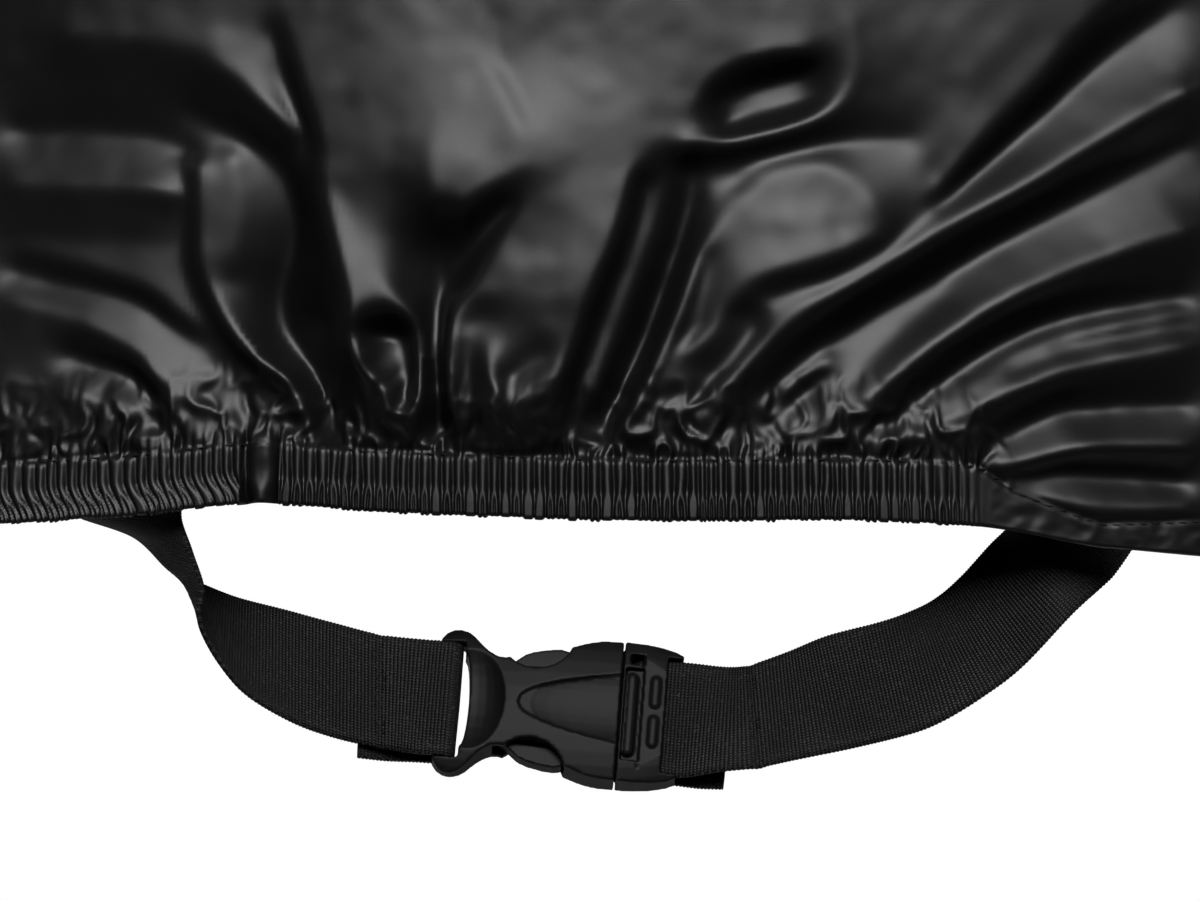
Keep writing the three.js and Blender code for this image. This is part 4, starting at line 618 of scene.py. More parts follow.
# Each line halves the cells of a smaller part, and the later ones halve only their width.
divide(cloth, lambda x, y: y < 260 or from_end(y) < 60)
divide(cloth, lambda x, y: y < 150 or from_end(y) < 40)
divide(cloth, lambda x, y: (abs(x) < 162 and y < 136) or -2 < from_end(y) < 24)
divide(cloth, lambda x, y: abs(x) < 162 and -3 < y < 38)
divide(cloth, lambda x, y: -2 < from_end(y) < 18, across_only=True)
divide(cloth, lambda x, y: PLEATED[0] < x < PLEATED[1] and -1.5 < y < 19, across_only=True)
divide(cloth, lambda x, y: PLEATED[0] < x < PLEATED[1] and -1.5 < y < 6, across_only=True)
for times in range(3):
    divide(cloth, lambda x, y: abs(x) > FRONT_HALF - 1.01 * CELL_OF_CLOTH, across_only=True)
print("the flat panel has", len(cloth.verts), "points and", len(cloth.faces), "faces")


# %% Lay the panel over the form
def places(cloth):
    points = np.empty(len(cloth.verts) * 3)
    mesh = bpy.data.meshes.new("reader")
    cloth.to_mesh(mesh)
    mesh.vertices.foreach_get("co", points)
    bpy.data.meshes.remove(mesh)
    return points.reshape(-1, 3)


def lay(cloth, lay_points):
    """Keeps the flat places as the cloth's UV map in metres, then moves every point to its place."""
    cloth.verts.index_update()
    flat = places(cloth)
    pattern = cloth.loops.layers.uv.new("flat_cloth")
    for face in cloth.faces:
        face.smooth = True
        for loop in face.loops:
            loop[pattern].uv = flat[loop.vert.index, :2] / 1000
    for vert, place in zip(cloth.verts, to_scene(lay_points(flat[:, 0], flat[:, 1]))):
        vert.co = place


def as_piece(cloth, name):
    """Turns a bmesh into an object of the scene."""
    mesh = bpy.data.meshes.new(name)
    cloth.to_mesh(mesh)
    cloth.free()
    piece = bpy.data.objects.new(name, mesh)
    bpy.context.scene.collection.objects.link(piece)
    return piece


def triangles(piece):
    mesh = piece.evaluated_get(bpy.context.evaluated_depsgraph_get()).to_mesh()
    return sum(len(face.vertices) - 2 for face in mesh.polygons)


lay(cloth, lay_centre_panel)
centre = as_piece(cloth, "centre_cloth")
print("centre_cloth:", triangles(centre), "triangles")

# %% [markdown]
# ## The side panels
# Each side panel is one grid too. Broad folds hang down it, from a table, and long shallow creases run
# between them. Its hem is plain, with a stitch line and a slight pucker. The right panel is laid first, and
# the left is laid with its own folds on the mirrored form, so its faces are turned round.

# %% Draw the broad folds of the sides
# Each row: mm along the hem from the middle of the front, from and to as shares of the height, drift along
# the hem on the way up, half width and rise.
DRAPE_FOLDS = (
    (262, 0.02, 0.55, 60, 34, 18),
    (350, 0.0, 0.7, 40, 40, -15),
    (450, 0.05, 0.85, 30, 46, 24),
    (570, 0.0, 0.8, -20, 46, -16),
    (700, 0.05, 0.8, -90, 54, 22),
    (840, 0.0, 0.6, -120, 54, -15),
    (990, 0.1, 0.85, -230, 60, 22),
    (1160, 0.0, 0.6, 0, 64, -13),
    (1320, 0.05, 0.75, 60, 58, 18),
    (1480, 0.0, 0.6, 40, 52, -14),
    (1620, 0.05, 0.8, 30, 48, 18),
    (1760, 0.0, 0.65, -20, 44, -14),
    (-250, 0.02, 0.6, -50, 36, 16),
    (-345, 0.0, 0.7, -50, 42, -15),
    (-450, 0.05, 0.8, -10, 46, 22),
    (-570, 0.0, 0.7, 10, 48, -15),
    (-720, 0.05, 0.85, 110, 56, 24),
    (-880, 0.0, 0.65, 130, 56, -15),
    (-1040, 0.08, 0.8, 200, 60, 20),
    (-1210, 0.0, 0.6, -30, 60, -13),
    (-1350, 0.05, 0.8, -60, 54, 20),
    (-1510, 0.0, 0.6, -30, 52, -14),
    (-1660, 0.05, 0.75, -10, 46, 18),
    (-1790, 0.0, 0.6, 20, 42, -13),
)
SIDE_BEND = 1.6  # mm to both sides of the lower edge in which the cloth turns over
SIDE_ROUNDING = 1.2
SIDE_CUT = 1800.0  # mm, the width of the flat side panel
SIDE_LEVELS = (0, 212, 452, 690, 880)  # mm up the flat side panel to the five levels of the form
hem_places = np.linspace(0, LAST_LINE, 241)
hem_run = np.linalg.norm(np.diff(on_side(hem_places, 0 * hem_places), axis=0), axis=1)
hem_lengths = FRONT_HALF + np.concatenate([[0], np.cumsum(hem_run)])
REAR_SEAM_AT = hem_lengths[-1]
HEM_ROUND = 2 * (REAR_SEAM_AT + UPRIGHT_LINES[-1, 0, 0])
print("the hem is", round(HEM_ROUND), "mm round")


# %% Say where each point of a side comes to lie
def drape_lift(along, share):
    """How far the broad folds stand out, at places along the hem and shares of the height."""
    total = np.zeros(len(along))
    for at, low, high, drift, width, rise in DRAPE_FOLDS:
        part = (share - low) / (high - low)
        away = along - at - drift * part
        away -= HEM_ROUND * np.round(away / HEM_ROUND)
        half = width * (0.8 + 0.6 * part)
        fold = rise * np.sin(np.pi * np.clip(part, 0, 1)) * np.exp(-((away / half) ** 2))
        total += np.where((part > 0) & (part < 1), fold, 0)
    from_seams = np.minimum(np.abs(along) - FRONT_HALF, REAR_SEAM_AT - np.abs(along))
    return total * smooth(from_seams / 70)


def lay_side_panel(side, proud=0.0):
    def lay_points(place_mm, height_mm):
        place = np.clip((place_mm / SIDE_CUT + 0.5) * LAST_LINE, 0, LAST_LINE)
        from_hem = np.hypot(height_mm, SIDE_ROUNDING) - SIDE_ROUNDING
        height = np.interp(np.maximum(from_hem, 0), SIDE_LEVELS, range(TOP_LEVEL + 1))
        base = side_form(place, height, side)
        inner_place = np.clip(place, 0.02, LAST_LINE - 0.02)
        inner_height = np.clip(height, 0.02, TOP_LEVEL - 0.02)
        out = facing(lambda p, h: side_form(p, h, side), inner_place, inner_height, (0.02, 0.02)) * side
        along = side * np.interp(place, hem_places, hem_lengths)
        row = 12 if side > 0 else 20  # of the table of chance, so that the sides differ
        lift = drape_lift(along, height / TOP_LEVEL)
        run = np.abs(along)
        bent = run + 40 * dimples(run, height_mm, 90, row)
        inner = smooth(np.minimum(np.minimum(place, LAST_LINE - place) / 0.25, (TOP_LEVEL - height) / 0.4))
        ridge = 7.0 * (creases(bent * 0.8, height_mm * 0.3, 60, row + 1) - 0.45)
        ridge += 2.4 * (creases(height_mm * 0.8, bent * 0.7, 34, row + 2) - 0.45)
        ridge += 0.8 * dimples(run, height_mm, 16, row + 3)
        lift += ridge * inner * smooth((from_hem - 8) / 90)
        pucker = 0.5 * wander(run, 5.5, row + 4) * np.exp(-(((from_hem - HEM_DEPTH) / 7) ** 2)) * inner
        stitched = 0.5 * np.exp(-(((from_hem - HEM_DEPTH) / 1.3) ** 2))
        casing = CASING_RISE * smooth((HEM_DEPTH + 2 - from_hem) / 4)
        inside = smooth((SIDE_BEND - height_mm) / (2 * SIDE_BEND))
        lift += pucker - stitched + casing + proud - CLOTH_LAYER * inside
        return base + out * lift[:, None]

    return lay_points


# %% Cut and lay both side panels
SIDE_COLUMNS, SIDE_ROWS = 170, 84
sides = {}
for name, side in (("right_cloth", 1), ("left_cloth", -1)):
    cloth = flat_panel(SIDE_COLUMNS, SIDE_ROWS, SIDE_CUT, SIDE_LEVELS[-1] + TURN_UP)
    bmesh.ops.translate(cloth, vec=(0, -TURN_UP, 0), verts=cloth.verts)
    divide(cloth, lambda x, y: y < 34)
    divide(cloth, lambda x, y: y < 24)
    lay(cloth, lay_side_panel(side))
    bmesh.ops.reverse_faces(cloth, faces=cloth.faces if side < 0 else [])
    sides[name] = as_piece(cloth, name)
    print(f"{name}:", triangles(sides[name]), "triangles")

# %% [markdown]
# ## Stitches
# The hem and the felled seams are sewn with black thread. Each stitch is a tiny bead drawn out along its
# row: an icosphere of twenty faces, which `create_icosphere` puts in place with a matrix. A row is given on
# the flat cloth, and the same function that laid the cloth says where both ends of each stitch come to lie.

# %% Sew the hem and the seams
THREAD = 0.00045  # metres across
STITCH, STITCH_PITCH = 2.1, 3.3  # mm, the length of a stitch and the way to the next one
SEAM_ROWS = (1.8, 6.0)  # mm from the edge of the panel
ON_SEAM, ON_HEM = 0.15, 0.1  # mm that the thread stands out from the cloth


def sew(name, starts, ends):
    """A row of stitches between the starts and the ends, as one piece."""
    thread = bmesh.new()
    for start, end in zip(to_scene(starts), to_scene(ends)):
        run = Vector(end - start)
        turn = run.to_track_quat("Z", "Y").to_matrix().to_4x4()
        size = Matrix.Diagonal((THREAD / 2, THREAD / 2, run.length / 2, 1))
        place = Matrix.Translation((start + end) / 2) @ turn @ size
        bmesh.ops.create_icosphere(thread, subdivisions=1, radius=1, matrix=place)
    for face in thread.faces:
        face.smooth = True
    print(f"{name}: {len(starts)} stitches")
    return as_piece(thread, name)


threads = []
for side in (-1, 1):
    y = np.arange(6, PANEL_LENGTH - 6, STITCH_PITCH)
    for number, inset in enumerate(SEAM_ROWS):
        x = np.full(len(y), side * (FRONT_HALF - inset))
        starts, ends = (lay_centre_panel(x, y + more, ON_SEAM) for more in (0, STITCH))
        threads.append(sew(f"seam_thread_{'left' if side < 0 else 'right'}_{number}", starts, ends))
x = np.arange(6 - FRONT_HALF, FRONT_HALF - 8, STITCH_PITCH)
for name, y in (("front", casing_depth(x)), ("rear", np.full(len(x), PANEL_LENGTH - HEM_DEPTH))):
    starts, ends = (lay_centre_panel(x + more, y, ON_HEM) for more in (0, STITCH))
    threads.append(sew(f"hem_thread_{name}", starts, ends))
for name, side in (("hem_thread_right", 1), ("hem_thread_left", -1)):
    run = np.arange(hem_lengths[0] + 4, hem_lengths[-1] - 6, STITCH_PITCH)
    lay_thread = lay_side_panel(side, ON_HEM)
    height = np.full(len(run), HEM_DEPTH)
    places_on_hem = (np.interp(run + more, hem_lengths, hem_places) for more in (0, STITCH))
    starts, ends = (lay_thread((place / LAST_LINE - 0.5) * SIDE_CUT, height) for place in places_on_hem)
    threads.append(sew(name, starts, ends))

# %% [markdown]
# ## The strap
# The strap is 30 mm webbing: a flat woven band with ribs across it. It is sewn inside the hem on both sides
# and hangs in a loose curve, so it twists as it comes down. Its edges were measured as they look from
# ahead, and the depth between them follows from the real width of the band. The band is cut as a flat grid,
# a cell for every quarter of a rib, and then moved to its place. Solidify gives it its thickness.

# %% Draw the strap's stations
WEB_WIDTH, WEB_THICKNESS = 30.0, 1.4
RIB = 0.9  # mm from rib to rib
BAND_ROWS = 18  # cells across the band
BAND_STITCH, BAND_STITCH_PITCH = 1.8, 2.4  # mm
BUCKLE_PLACE = {"x": -13.4, "behind_hem": 22.0, "below_hem": 48.5, "turn": 4.5, "tilt": -24.0}
hem_front = on_centre(np.array([0.0]), np.array([0.0]))[0]  # the middle of the front hem
buckle_frame = (
    Matrix.Translation((BUCKLE_PLACE["x"], hem_front[1] + BUCKLE_PLACE["behind_hem"],
                        HEM_DATUM - BUCKLE_PLACE["below_hem"]))
    @ Matrix.Rotation(math.radians(BUCKLE_PLACE["turn"]), 4, "Y")
    @ Matrix.Rotation(math.radians(BUCKLE_PLACE["tilt"] + 90), 4, "X"))
# Each row: the upper and the lower edge (place across, height over the datum), and how far the middle lies
# behind the hem.
LEFT_WEB = (
    ((-137.5, 7), (-108, 5), None), ((-136.5, 1), (-109, -1), 27), ((-121.2, -5), (-106.6, -9), 31),
    ((-112.7, -13), (-103.7, -18), 31), ((-108.3, -16), (-104.4, -23.7), 30.5),
    ((-103.7, -18), (-103.2, -29), 30), ((-98.3, -20), (-98.8, -36.5), 29), ((-92, -21.7), (-92.2, -44), 27),
    ((-81.7, -24.2), (-81.7, -50.5), 24.5), ((-72, -26.7), (-72, -54.2), 22.5),
    ((-60.2, -29.7), (-60.2, -57), 21),
)
RIGHT_WEB = (
    ((25.4, -37.8), (23.7, -62.4), 21), ((31.2, -37.3), (32.9, -61.4), 21),
    ((40.2, -34.2), (42.7, -59.5), 22), ((50, -30), (56, -57), 22), ((62.2, -26.8), (68.3, -54.2), 23),
    ((69.5, -24.4), (76.8, -51), 24), ((76.3, -21.2), (87.6, -44.6), 25.5),
    ((82.7, -15.9), (97.3, -37.4), 27), ((91.5, -6.3), (109, -25.2), 28),
    ((98.4, 1.5), (119.8, -15.5), -27), ((102.6, 8), (126, -6.4), None),
)
# The band's way round its bar, in the buckle's own directions. Each point: along, out of the face, and how
# far the band has slipped down. The bar: along, out of the face, and the radius of the turn.
LEFT_LOOP = {
    "before": ((-37, 2.5, 0), (-33.5, 2.6, 0)), "bar": (-30.5, 0, 2.6), "turn": 1,
    "after": ((-36, -2.6, 0), (-44, -1.2, 0.9), (-51, -0.6, 0.9)),
}
RIGHT_LOOP = {
    "before": ((39, -2.9, 0.9), (33, -3.6, 0.8), (27, -4.6, 0), (22, -5, 0)),
    "bar": (17.5, -2.2, 2.9), "turn": -1, "after": ((23, 0.7, 0), (29, 0.8, 0)),
}
BEHIND_HEM = 3.0  # mm from the outer cloth of the hem to the middle of the sewn band
WAY_OF_CASING = 0.075  # about the way up the form from the lower edge to the stitch line
SAMPLES = 60  # of the curve from station to station
print("the strap is seen at", len(LEFT_WEB) + len(RIGHT_WEB), "stations")


# %% Curve the strap through its stations
def seen_station(upper, lower, behind):
    """Both edges of the band in space.

    None as depth means sewn to the inside of the hem, and a depth below 0 that the upper edge is the nearer.
    """
    if behind is None:
        edges = []
        for x, height in (upper, lower):
            up = max(height - float(hem_height(np.array([x]))[0]), 0) * WAY_OF_CASING / HEM_DEPTH
            across = np.array([x / FRONT_HALF])
            point = centre_form(np.array([up]), across)[0]
            out = facing(centre_form, np.array([max(up, 0.02)]), across, (0.01, 0.01))[0]
            out *= -1 if out[1] > 0 else 1
            edges.append((x, point[1] - out[1] * BEHIND_HEM, HEM_DATUM + height))
        return edges
    seen = math.dist(upper, lower)
    away = math.sqrt(max(0, WEB_WIDTH ** 2 - seen ** 2)) / 2 * (1 if behind > 0 else -1)
    middle = hem_front[1] + abs(behind)
    return [(upper[0], middle + away, HEM_DATUM + upper[1]), (lower[0], middle - away, HEM_DATUM + lower[1])]


def loop_stations(loop):
    along, out, radius = loop["bar"]
    angles = [loop["turn"] * (math.pi / 2 - math.pi * k / 6) for k in range(7)]
    arc = [(along + loop["turn"] * radius * math.cos(a), out + radius * math.sin(a), 0) for a in angles]
    return [[tuple(buckle_frame @ Vector((a, side * WEB_WIDTH / 2 - drop, o))) for side in (1, -1)]
            for a, o, drop in (*loop["before"], *arc, *loop["after"])]


def lay_band(stations, sewn_station):
    """A function that lays a flat band through the stations, the band's length, and where it is sewn."""
    edges = np.array([stations[0], *stations, stations[-1]], float)
    fine = np.linspace(0, len(stations) - 1, SAMPLES * (len(stations) - 1) + 1)
    step = np.minimum(fine.astype(int), len(stations) - 2)
    curve = through(*(edges[step + k] for k in range(4)), (fine - step)[:, None])
    middle = curve.mean(axis=1)
    run = np.concatenate([[0], np.cumsum(np.linalg.norm(np.diff(middle, axis=0), axis=1))])
    sewn_at = run[SAMPLES * sewn_station]

    def along_line(at, line):
        return np.stack([np.interp(at, run, line[:, axis]) for axis in range(3)], axis=1)

    def lay_points(along_mm, across_mm, proud=0.0):
        at = np.clip(along_mm, 0, run[-1])
        upper, lower = along_line(at, curve[:, 0]), along_line(at, curve[:, 1])
        ahead = along_line(at + 0.6, middle) - along_line(at - 0.6, middle)
        out = np.cross(ahead, upper - lower)
        out /= np.linalg.norm(out, axis=1)[:, None]
        share = (across_mm / WEB_WIDTH + 0.5)[:, None]
        to_edge = WEB_WIDTH / 2 - np.abs(across_mm)
        ribs = np.cos(2 * np.pi * along_mm / RIB)
        rib = 0.09 * ribs * smooth((to_edge - 0.8) / 0.6)
        slack = 0.35 * dimples(along_mm, across_mm, 13, 30)
        frayed = 0.12 * ribs * np.sign(across_mm) * (to_edge < 0.1)
        width_way = (upper - lower) / np.linalg.norm(upper - lower, axis=1)[:, None]
        lift = rib + slack + proud - 0.45 * np.exp(-(((along_mm - sewn_at) / 1.4) ** 2))
        return lower + (upper - lower) * share + out * lift[:, None] + width_way * frayed[:, None]

    return lay_points, run[-1], sewn_at


# %% Weave and hang the strap
def woven_band(name, stations, sewn_station):
    """One side of the strap, with two rows of stitches where it is sewn."""
    lay_points, length, sewn_at = lay_band(stations, sewn_station)
    cloth = flat_panel(round(length / RIB * 4), BAND_ROWS, length, WEB_WIDTH)
    bmesh.ops.translate(cloth, vec=(length / 2, -WEB_WIDTH / 2, 0), verts=cloth.verts)
    lay(cloth, lay_points)
    band = as_piece(cloth, name)
    wall = band.modifiers.new("thickness", "SOLIDIFY")
    wall.thickness, wall.offset = (WEB_THICKNESS - 0.2) / 1000, 0
    print(f"{name}: {length:.0f} mm long, {triangles(band)} triangles")
    across = np.arange(1 - WEB_WIDTH / 2, WEB_WIDTH / 2 - 2, BAND_STITCH_PITCH)
    starts, ends = [], []
    for row in (-0.9, 0.9):
        for rows, more in ((starts, 0), (ends, BAND_STITCH)):
            waved = sewn_at + row + 0.35 * np.sin((across + more) / 2.1)
            rows.append(lay_points(waved, across + more, WEB_THICKNESS / 2 + 0.12))
    threads.append(sew(name + "_thread", np.concatenate(starts), np.concatenate(ends)))
    return band


left_stations = [*(seen_station(*row) for row in LEFT_WEB), *loop_stations(LEFT_LOOP)]
right_stations = [*loop_stations(RIGHT_LOOP), *(seen_station(*row) for row in RIGHT_WEB)]
left_band = woven_band("left_band", left_stations, len(LEFT_WEB) - 1)
right_band = woven_band("right_band", right_stations, len(right_stations) - len(RIGHT_WEB) + 1)

# %% [markdown]
# ## The buckle
# The buckle is moulded plastic. Its two halves already have the right shape in the frame, but their edges
# are sharp, and a moulding has a small radius on every edge. A copy of each half is merged, remeshed into
# small even cells and smoothed a little, and that rounds all the edges alike.

# %% Round the buckle's edges
def moulded(node, name, cell, rounds):
    """A copy of a solid with round edges, from its cell size in metres and its rounds of smoothing."""
    shell = bmesh.new()
    shell.from_mesh(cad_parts[node].data)
    bmesh.ops.remove_doubles(shell, verts=shell.verts, dist=2e-6)
    half = as_piece(shell, name)
    fine = half.modifiers.new("even cells", "REMESH")
    fine.mode, fine.voxel_size, fine.use_smooth_shade = "VOXEL", cell, True
    soft = half.modifiers.new("round edges", "SMOOTH")
    soft.factor, soft.iterations = 0.5, rounds
    print(f"{name}:", triangles(half), "triangles")
    return half


socket = moulded("buckle_socket", "socket_half", 0.00034, 5)
prong = moulded("buckle_prong", "prong_half", 0.0003, 4)

# %% [markdown]
# ## Writing materials
# A material is a small network of nodes. Three helpers keep it readable. `Wire` stands for an output socket
# and lets sums be written as Python expressions: each operator adds a Math node. `Nodes.add` makes any
# other node from its type, its settings and the values or wires of its sockets. `Finish` is such a network
# with its material and the Principled shader in it.

# %% A helper for sums of sockets
class Wire:
    """An output socket of a node. Its operators add Math nodes."""

    def __init__(self, nodes, socket):
        self.nodes, self.socket = nodes, socket

    def math(self, operation, *values):
        return self.nodes.add("ShaderNodeMath", {"operation": operation}, dict(enumerate(values)))

    def __add__(self, other):
        return self.math("ADD", self, other)

    def __sub__(self, other):
        return self.math("SUBTRACT", self, other)

    def __rsub__(self, other):
        return self.math("SUBTRACT", other, self)

    def __mul__(self, other):
        return self.math("MULTIPLY", self, other)

    def wave(self):
        return self.math("SINE", self)

    def above(self, low, high):
        """0 below low, 1 above high and smooth between."""
        return self.nodes.add("ShaderNodeMapRange", {"interpolation_type": "SMOOTHSTEP", "clamp": True},
                              {"Value": self, "From Min": low, "From Max": high})

    __radd__, __rmul__ = __add__, __mul__


# %% Helpers for whole materials
class Nodes:
    """A tree of nodes, and ways to add to it."""

    def __init__(self, owner):
        owner.use_nodes = True
        self.tree = owner.node_tree

    def add(self, kind, settings=None, sockets=None, out=0):
        node = self.tree.nodes.new(kind)
        for key, value in (settings or {}).items():
            setattr(node, key, value)
        self.plug(node, sockets or {})
        return Wire(self, node.outputs[out])

    def plug(self, node, sockets):
        for key, value in sockets.items():
            if isinstance(value, Wire):
                self.tree.links.new(value.socket, node.inputs[key])
            else:
                node.inputs[key].default_value = value

    def parts(self, vector):
        """The three numbers of a vector."""
        split = self.tree.nodes.new("ShaderNodeSeparateXYZ")
        self.plug(split, {0: vector})
        return [Wire(self, output) for output in split.outputs]


class Finish(Nodes):
    """A material and the nodes that it is made of."""

    def __init__(self, name):
        self.material = bpy.data.materials.new(name)
        super().__init__(self.material)
        self.shader = self.tree.nodes["Principled BSDF"]

    def surface(self, **sockets):
        self.plug(self.shader, {key.replace("_", " "): value for key, value in sockets.items()})
        print(f"{self.material.name}: {len(self.tree.nodes)} nodes")

    def bump(self, height, strength):
        return self.add("ShaderNodeBump", None, {"Height": height, "Distance": 1.0, "Strength": strength})

    def blend(self, factor, first, second):
        node = self.tree.nodes.new("ShaderNodeMix")
        node.data_type = "RGBA"
        self.plug(node, {0: factor, 6: first, 7: second})
        return Wire(self, node.outputs[2])

    def noise(self, place, scale, detail=2.0, rough=0.5):
        return self.add("ShaderNodeTexNoise", None,
                        {"Vector": place, "Scale": scale, "Detail": detail, "Roughness": rough})

    def uv_places(self, name):
        """The two directions of a UV map, in metres, and its vector."""
        place = self.add("ShaderNodeUVMap", {"uv_map": name})
        return (*self.parts(place)[:2], place)

    def object_places(self):
        return self.add("ShaderNodeTexCoord", out=3)

# %% [markdown]
# ## Coated cloth
# The cloth is black polyester taffeta with a coating. It is smooth enough to shine on each fold, and soft
# enough that the shine spreads. A fine plain weave and a faint crinkle break the shine up. Both follow the
# cloth's own flat pattern through its UV map, so they bend with the folds.

# %% Make the coated cloth
YARN = 0.00042  # metres from yarn to yarn of the weave


def coated_cloth():
    finish = Finish("coated_cloth")
    along, up, place = finish.uv_places("flat_cloth")
    weave = (along * (2 * math.pi / YARN)).wave() * (up * (2 * math.pi / YARN)).wave()
    crinkle = finish.noise(place, 170.0, 3.0, 0.55)
    cloudy = finish.noise(place, 22.0, 2.0, 0.5)
    fine = finish.noise(place, 900.0, 2.0, 0.6)
    colour = finish.blend(cloudy, (0.001, 0.001, 0.0011, 1), (0.0016, 0.0016, 0.0017, 1))
    height = weave * 0.00001 + crinkle * 0.00005 + fine * 0.000012
    finish.surface(Base_Color=colour, Roughness=0.36 + cloudy * 0.07 + fine * 0.05,
                   Normal=finish.bump(height, 0.8), Specular_IOR_Level=0.1)
    return finish.material


cloth_finish = coated_cloth()

# %% [markdown]
# ## Webbing
# Polyester webbing is dull, with ribs across it and threads along it. The ribs are in the mesh, and the
# material adds the threads between them as bumps. Its colour has painted glints: tiny lighter points where
# the threads cross the ribs and at random flecks.

# %% Make the webbing
WARP = 0.00075  # metres from yarn to yarn along the band


def webbing_finish():
    finish = Finish("webbing")
    along, across, place = finish.uv_places("flat_cloth")
    rib, yarn = 2 * math.pi / (RIB / 1000), 2 * math.pi / WARP
    offset = (along * (rib / 2)).wave() * 1.2
    warp = (across * yarn + offset).wave()
    ribs = (along * rib).wave()
    # Random flecks: raised a little in the bump, and painted as glints in the colour.
    fleck_and_glint = finish.noise(place, 1500.0, 2.0, 0.6).above(0.55, 0.75)
    glint = warp.above(0.1, 0.9) * ribs.above(-0.2, 0.8)
    cloudy = finish.noise(place, 60.0, 2.0)
    # Painted glints: the colour turns lighter where threads cross ribs and at the flecks, stronger or weaker
    # at random.
    light = (glint * 0.6 + fleck_and_glint * 0.4) * (0.35 + cloudy * 1.3)
    colour = finish.blend(light, (0.0008, 0.0008, 0.0009, 1), (0.02, 0.02, 0.0208, 1))
    height = warp * 0.00005 + ribs * 0.00004 + fleck_and_glint * 0.00003
    finish.surface(Base_Color=colour, Roughness=0.72 - glint * 0.2 + cloudy * 0.06,
                   Normal=finish.bump(height, 0.9), Specular_IOR_Level=0.05)
    return finish.material


band_finish = webbing_finish()

# %% [markdown]
# ## Moulded plastic
# The buckle is black acetal. It has a fine, even grain from its mould and a soft, dull shine.

# %% Make the plastic
def moulded_plastic():
    finish = Finish("moulded_plastic")
    place = finish.object_places()
    grain = finish.noise(place, 2600.0, 2.0, 0.6)
    cloudy = finish.noise(place, 90.0, 2.0)
    colour = finish.blend(cloudy, (0.0012, 0.0012, 0.0013, 1), (0.0024, 0.0024, 0.0025, 1))
    finish.surface(Base_Color=colour, Roughness=0.36 + cloudy * 0.06 + grain * 0.05,
                   Normal=finish.bump(grain * 0.00002, 0.6), Specular_IOR_Level=0.022)
    return finish.material


plastic_finish = moulded_plastic()

# %% [markdown]
# ## Thread
# The thread is black polyester with a slight sheen, a little lighter than the cloth. Fine noise stands for
# its twist.

# %% Make the thread and give every piece its finish
def sewing_thread():
    finish = Finish("sewing_thread")
    place = finish.object_places()
    twist = finish.noise(place, 4000.0, 1.0, 0.5)
    colour = finish.blend(twist, (0.001, 0.001, 0.0011, 1), (0.003, 0.003, 0.0031, 1))
    finish.surface(Base_Color=colour, Roughness=0.5 + twist * 0.1,
                   Normal=finish.bump(twist * 0.00005, 0.5), Specular_IOR_Level=0.05)
    return finish.material


thread_finish = sewing_thread()
for piece in threads:
    piece.data.materials.append(thread_finish)
for piece in (centre, *sides.values()):
    piece.data.materials.append(cloth_finish)
for piece in (left_band, right_band):
    piece.data.materials.append(band_finish)
for piece in (socket, prong):
    piece.data.materials.clear()
    piece.data.materials.append(plastic_finish)

# %% [markdown]
# ## Join the pieces to the frame
# The cloths, the bands and the halves of the buckle each stand for a solid of the frame. The rows of
# stitches come on top of them. Every piece rides on the one body, and each cloth keeps its flat cut, at real
# size, as its UV map.

# %% Ride and replace
STANDS_FOR = {
    centre: "centre_panel", sides["left_cloth"]: "left_panel", sides["right_cloth"]: "right_panel",
    left_band: "strap_left", right_band: "strap_right", socket: "buckle_socket", prong: "buckle_prong",
}
for piece, node in STANDS_FOR.items():
    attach(piece, "root")
    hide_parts(node)
for piece in threads:
    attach(piece, "root")
print(len(STANDS_FOR), "pieces stand for solids, and", len(threads), "rows of thread come with them")

# %% [markdown]
# ## The studio
# The floor is pale. The room is white behind the cover and weaker in all other directions, or the sides of
# the black folds would shine grey. A large soft lamp above and ahead of the hem lights the upper side of
# each fold, and the undersides stay dark. More lamps, farther off, light the rest of the cover. The camera
# is level with the hem and far away, as for a product picture. The gamma of the display deepens the shadows
# a little more.

# %% Floor, room and lamps
def lamp(name, place, target, size, power, spread=180):
    """A rectangular area lamp that points at its target and isn't seen by the camera."""
    data = bpy.data.lights.new(name, "AREA")
    data.shape, data.size, data.size_y = "RECTANGLE", *size
    data.energy, data.spread = power, math.radians(spread)
    light = bpy.data.objects.new(name, data)
    light.location = place
    light.rotation_euler = (Vector(target) - Vector(place)).to_track_quat("-Z", "Y").to_euler()
    light.visible_camera = False
    bpy.context.scene.collection.objects.link(light)


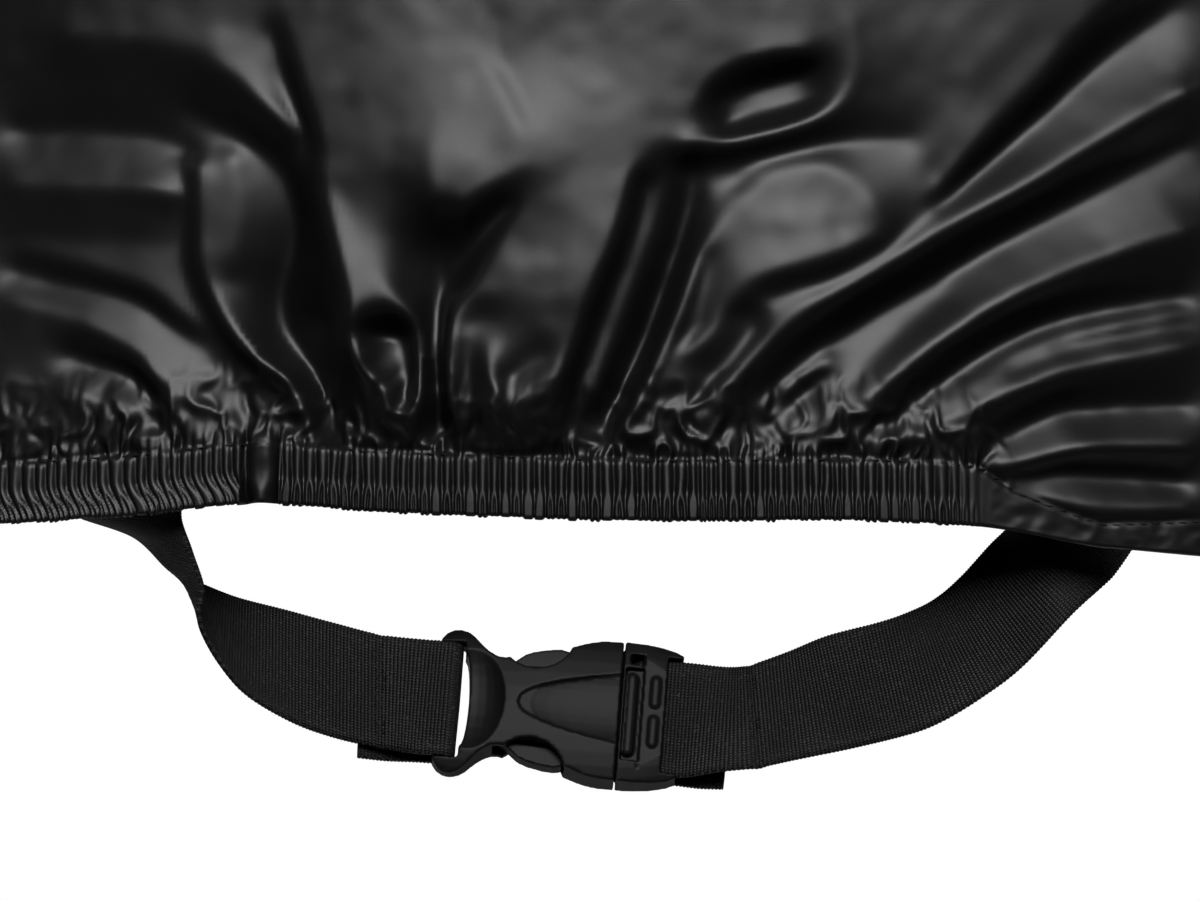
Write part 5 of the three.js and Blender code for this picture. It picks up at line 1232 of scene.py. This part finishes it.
FLOOR_RADIUS = 1.35
ground = bmesh.new()
bmesh.ops.create_circle(ground, cap_ends=True, segments=96, radius=FLOOR_RADIUS)
bmesh.ops.translate(ground, vec=(0, 0.08, -ORIGIN[2] / 1000), verts=ground.verts)
floor = as_piece(ground, "floor")
floor_finish = Finish("pale_floor")
floor_finish.surface(Base_Color=(0.7, 0.7, 0.7, 1), Roughness=0.8)
floor.data.materials.append(floor_finish.material)
floor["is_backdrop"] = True

world = bpy.data.worlds.new("pale_room")
bpy.context.scene.world = world
room = Nodes(world)
to_rear, rise = room.parts(room.add("ShaderNodeTexCoord"))[1:]
to_front = to_rear * -1
# rise and to_front are the parts of a direction upwards and ahead, from -1 to 1.
overhead = rise.above(0.045, 0.13) * 0.94
underfoot = (rise * -1).above(0.045, 0.2) * (0.25 + to_front.above(-0.5, 0.1) * 0.6)
beside = to_front.above(-0.95, -0.7) * 0.55
level = (1 - overhead - underfoot) * (1 - beside)
room.plug(room.tree.nodes["Background"], {"Color": (1, 1, 1, 1), "Strength": level})

hem_middle = Vector(to_scene((-6, hem_front[1], HEM_DATUM + 16)))
lamp("key", hem_middle + Vector((0.04, -1.25, 1.05)), hem_middle + Vector((0, 0, 0.05)), (1.5, 0.8), 46, 80)
lamp("front", (0, -6.2, 1.4), (0, -1, 0.4), (1.9, 2.4), 16)
lamp("rear", (0, 5.5, 2.4), (0, 1, 0.5), (3.0, 2.0), 60)
for side in (1, -1):
    lamp("side", (4.5 * side, 0, 3.0), (0, 0, 0.4), (3.5, 1.8), 60)
lamp("top", (0, 0.8, 3.2), (0, 0.8, 0), (2.4, 3.2), 70)
print("lamps:", ", ".join(light.name for light in bpy.data.lights))

# %% Camera
FRAME_WIDTH = 0.2927  # metres across the picture at the hem
DISTANCE = 3.0
camera_data = bpy.data.cameras.new("camera")
camera_data.sensor_width = 36
camera_data.lens = 36 * DISTANCE / FRAME_WIDTH
camera = bpy.data.objects.new("camera", camera_data)
camera.location = hem_middle + Vector((0, -DISTANCE, 0))
camera.rotation_euler = (math.radians(90), 0, 0)
camera_data.clip_end = 200
bpy.context.scene.collection.objects.link(camera)
bpy.context.scene.camera = camera
bpy.context.scene.view_settings.view_transform = "Standard"
bpy.context.scene.view_settings.gamma = 0.87
print("lens of the camera:", round(camera_data.lens), "mm")

# %% Gather both boxes and finish
boxes = {"frame": frame_box, "dressed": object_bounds()}
{key: [list(corner) for corner in box] for key, box in boxes.items()}
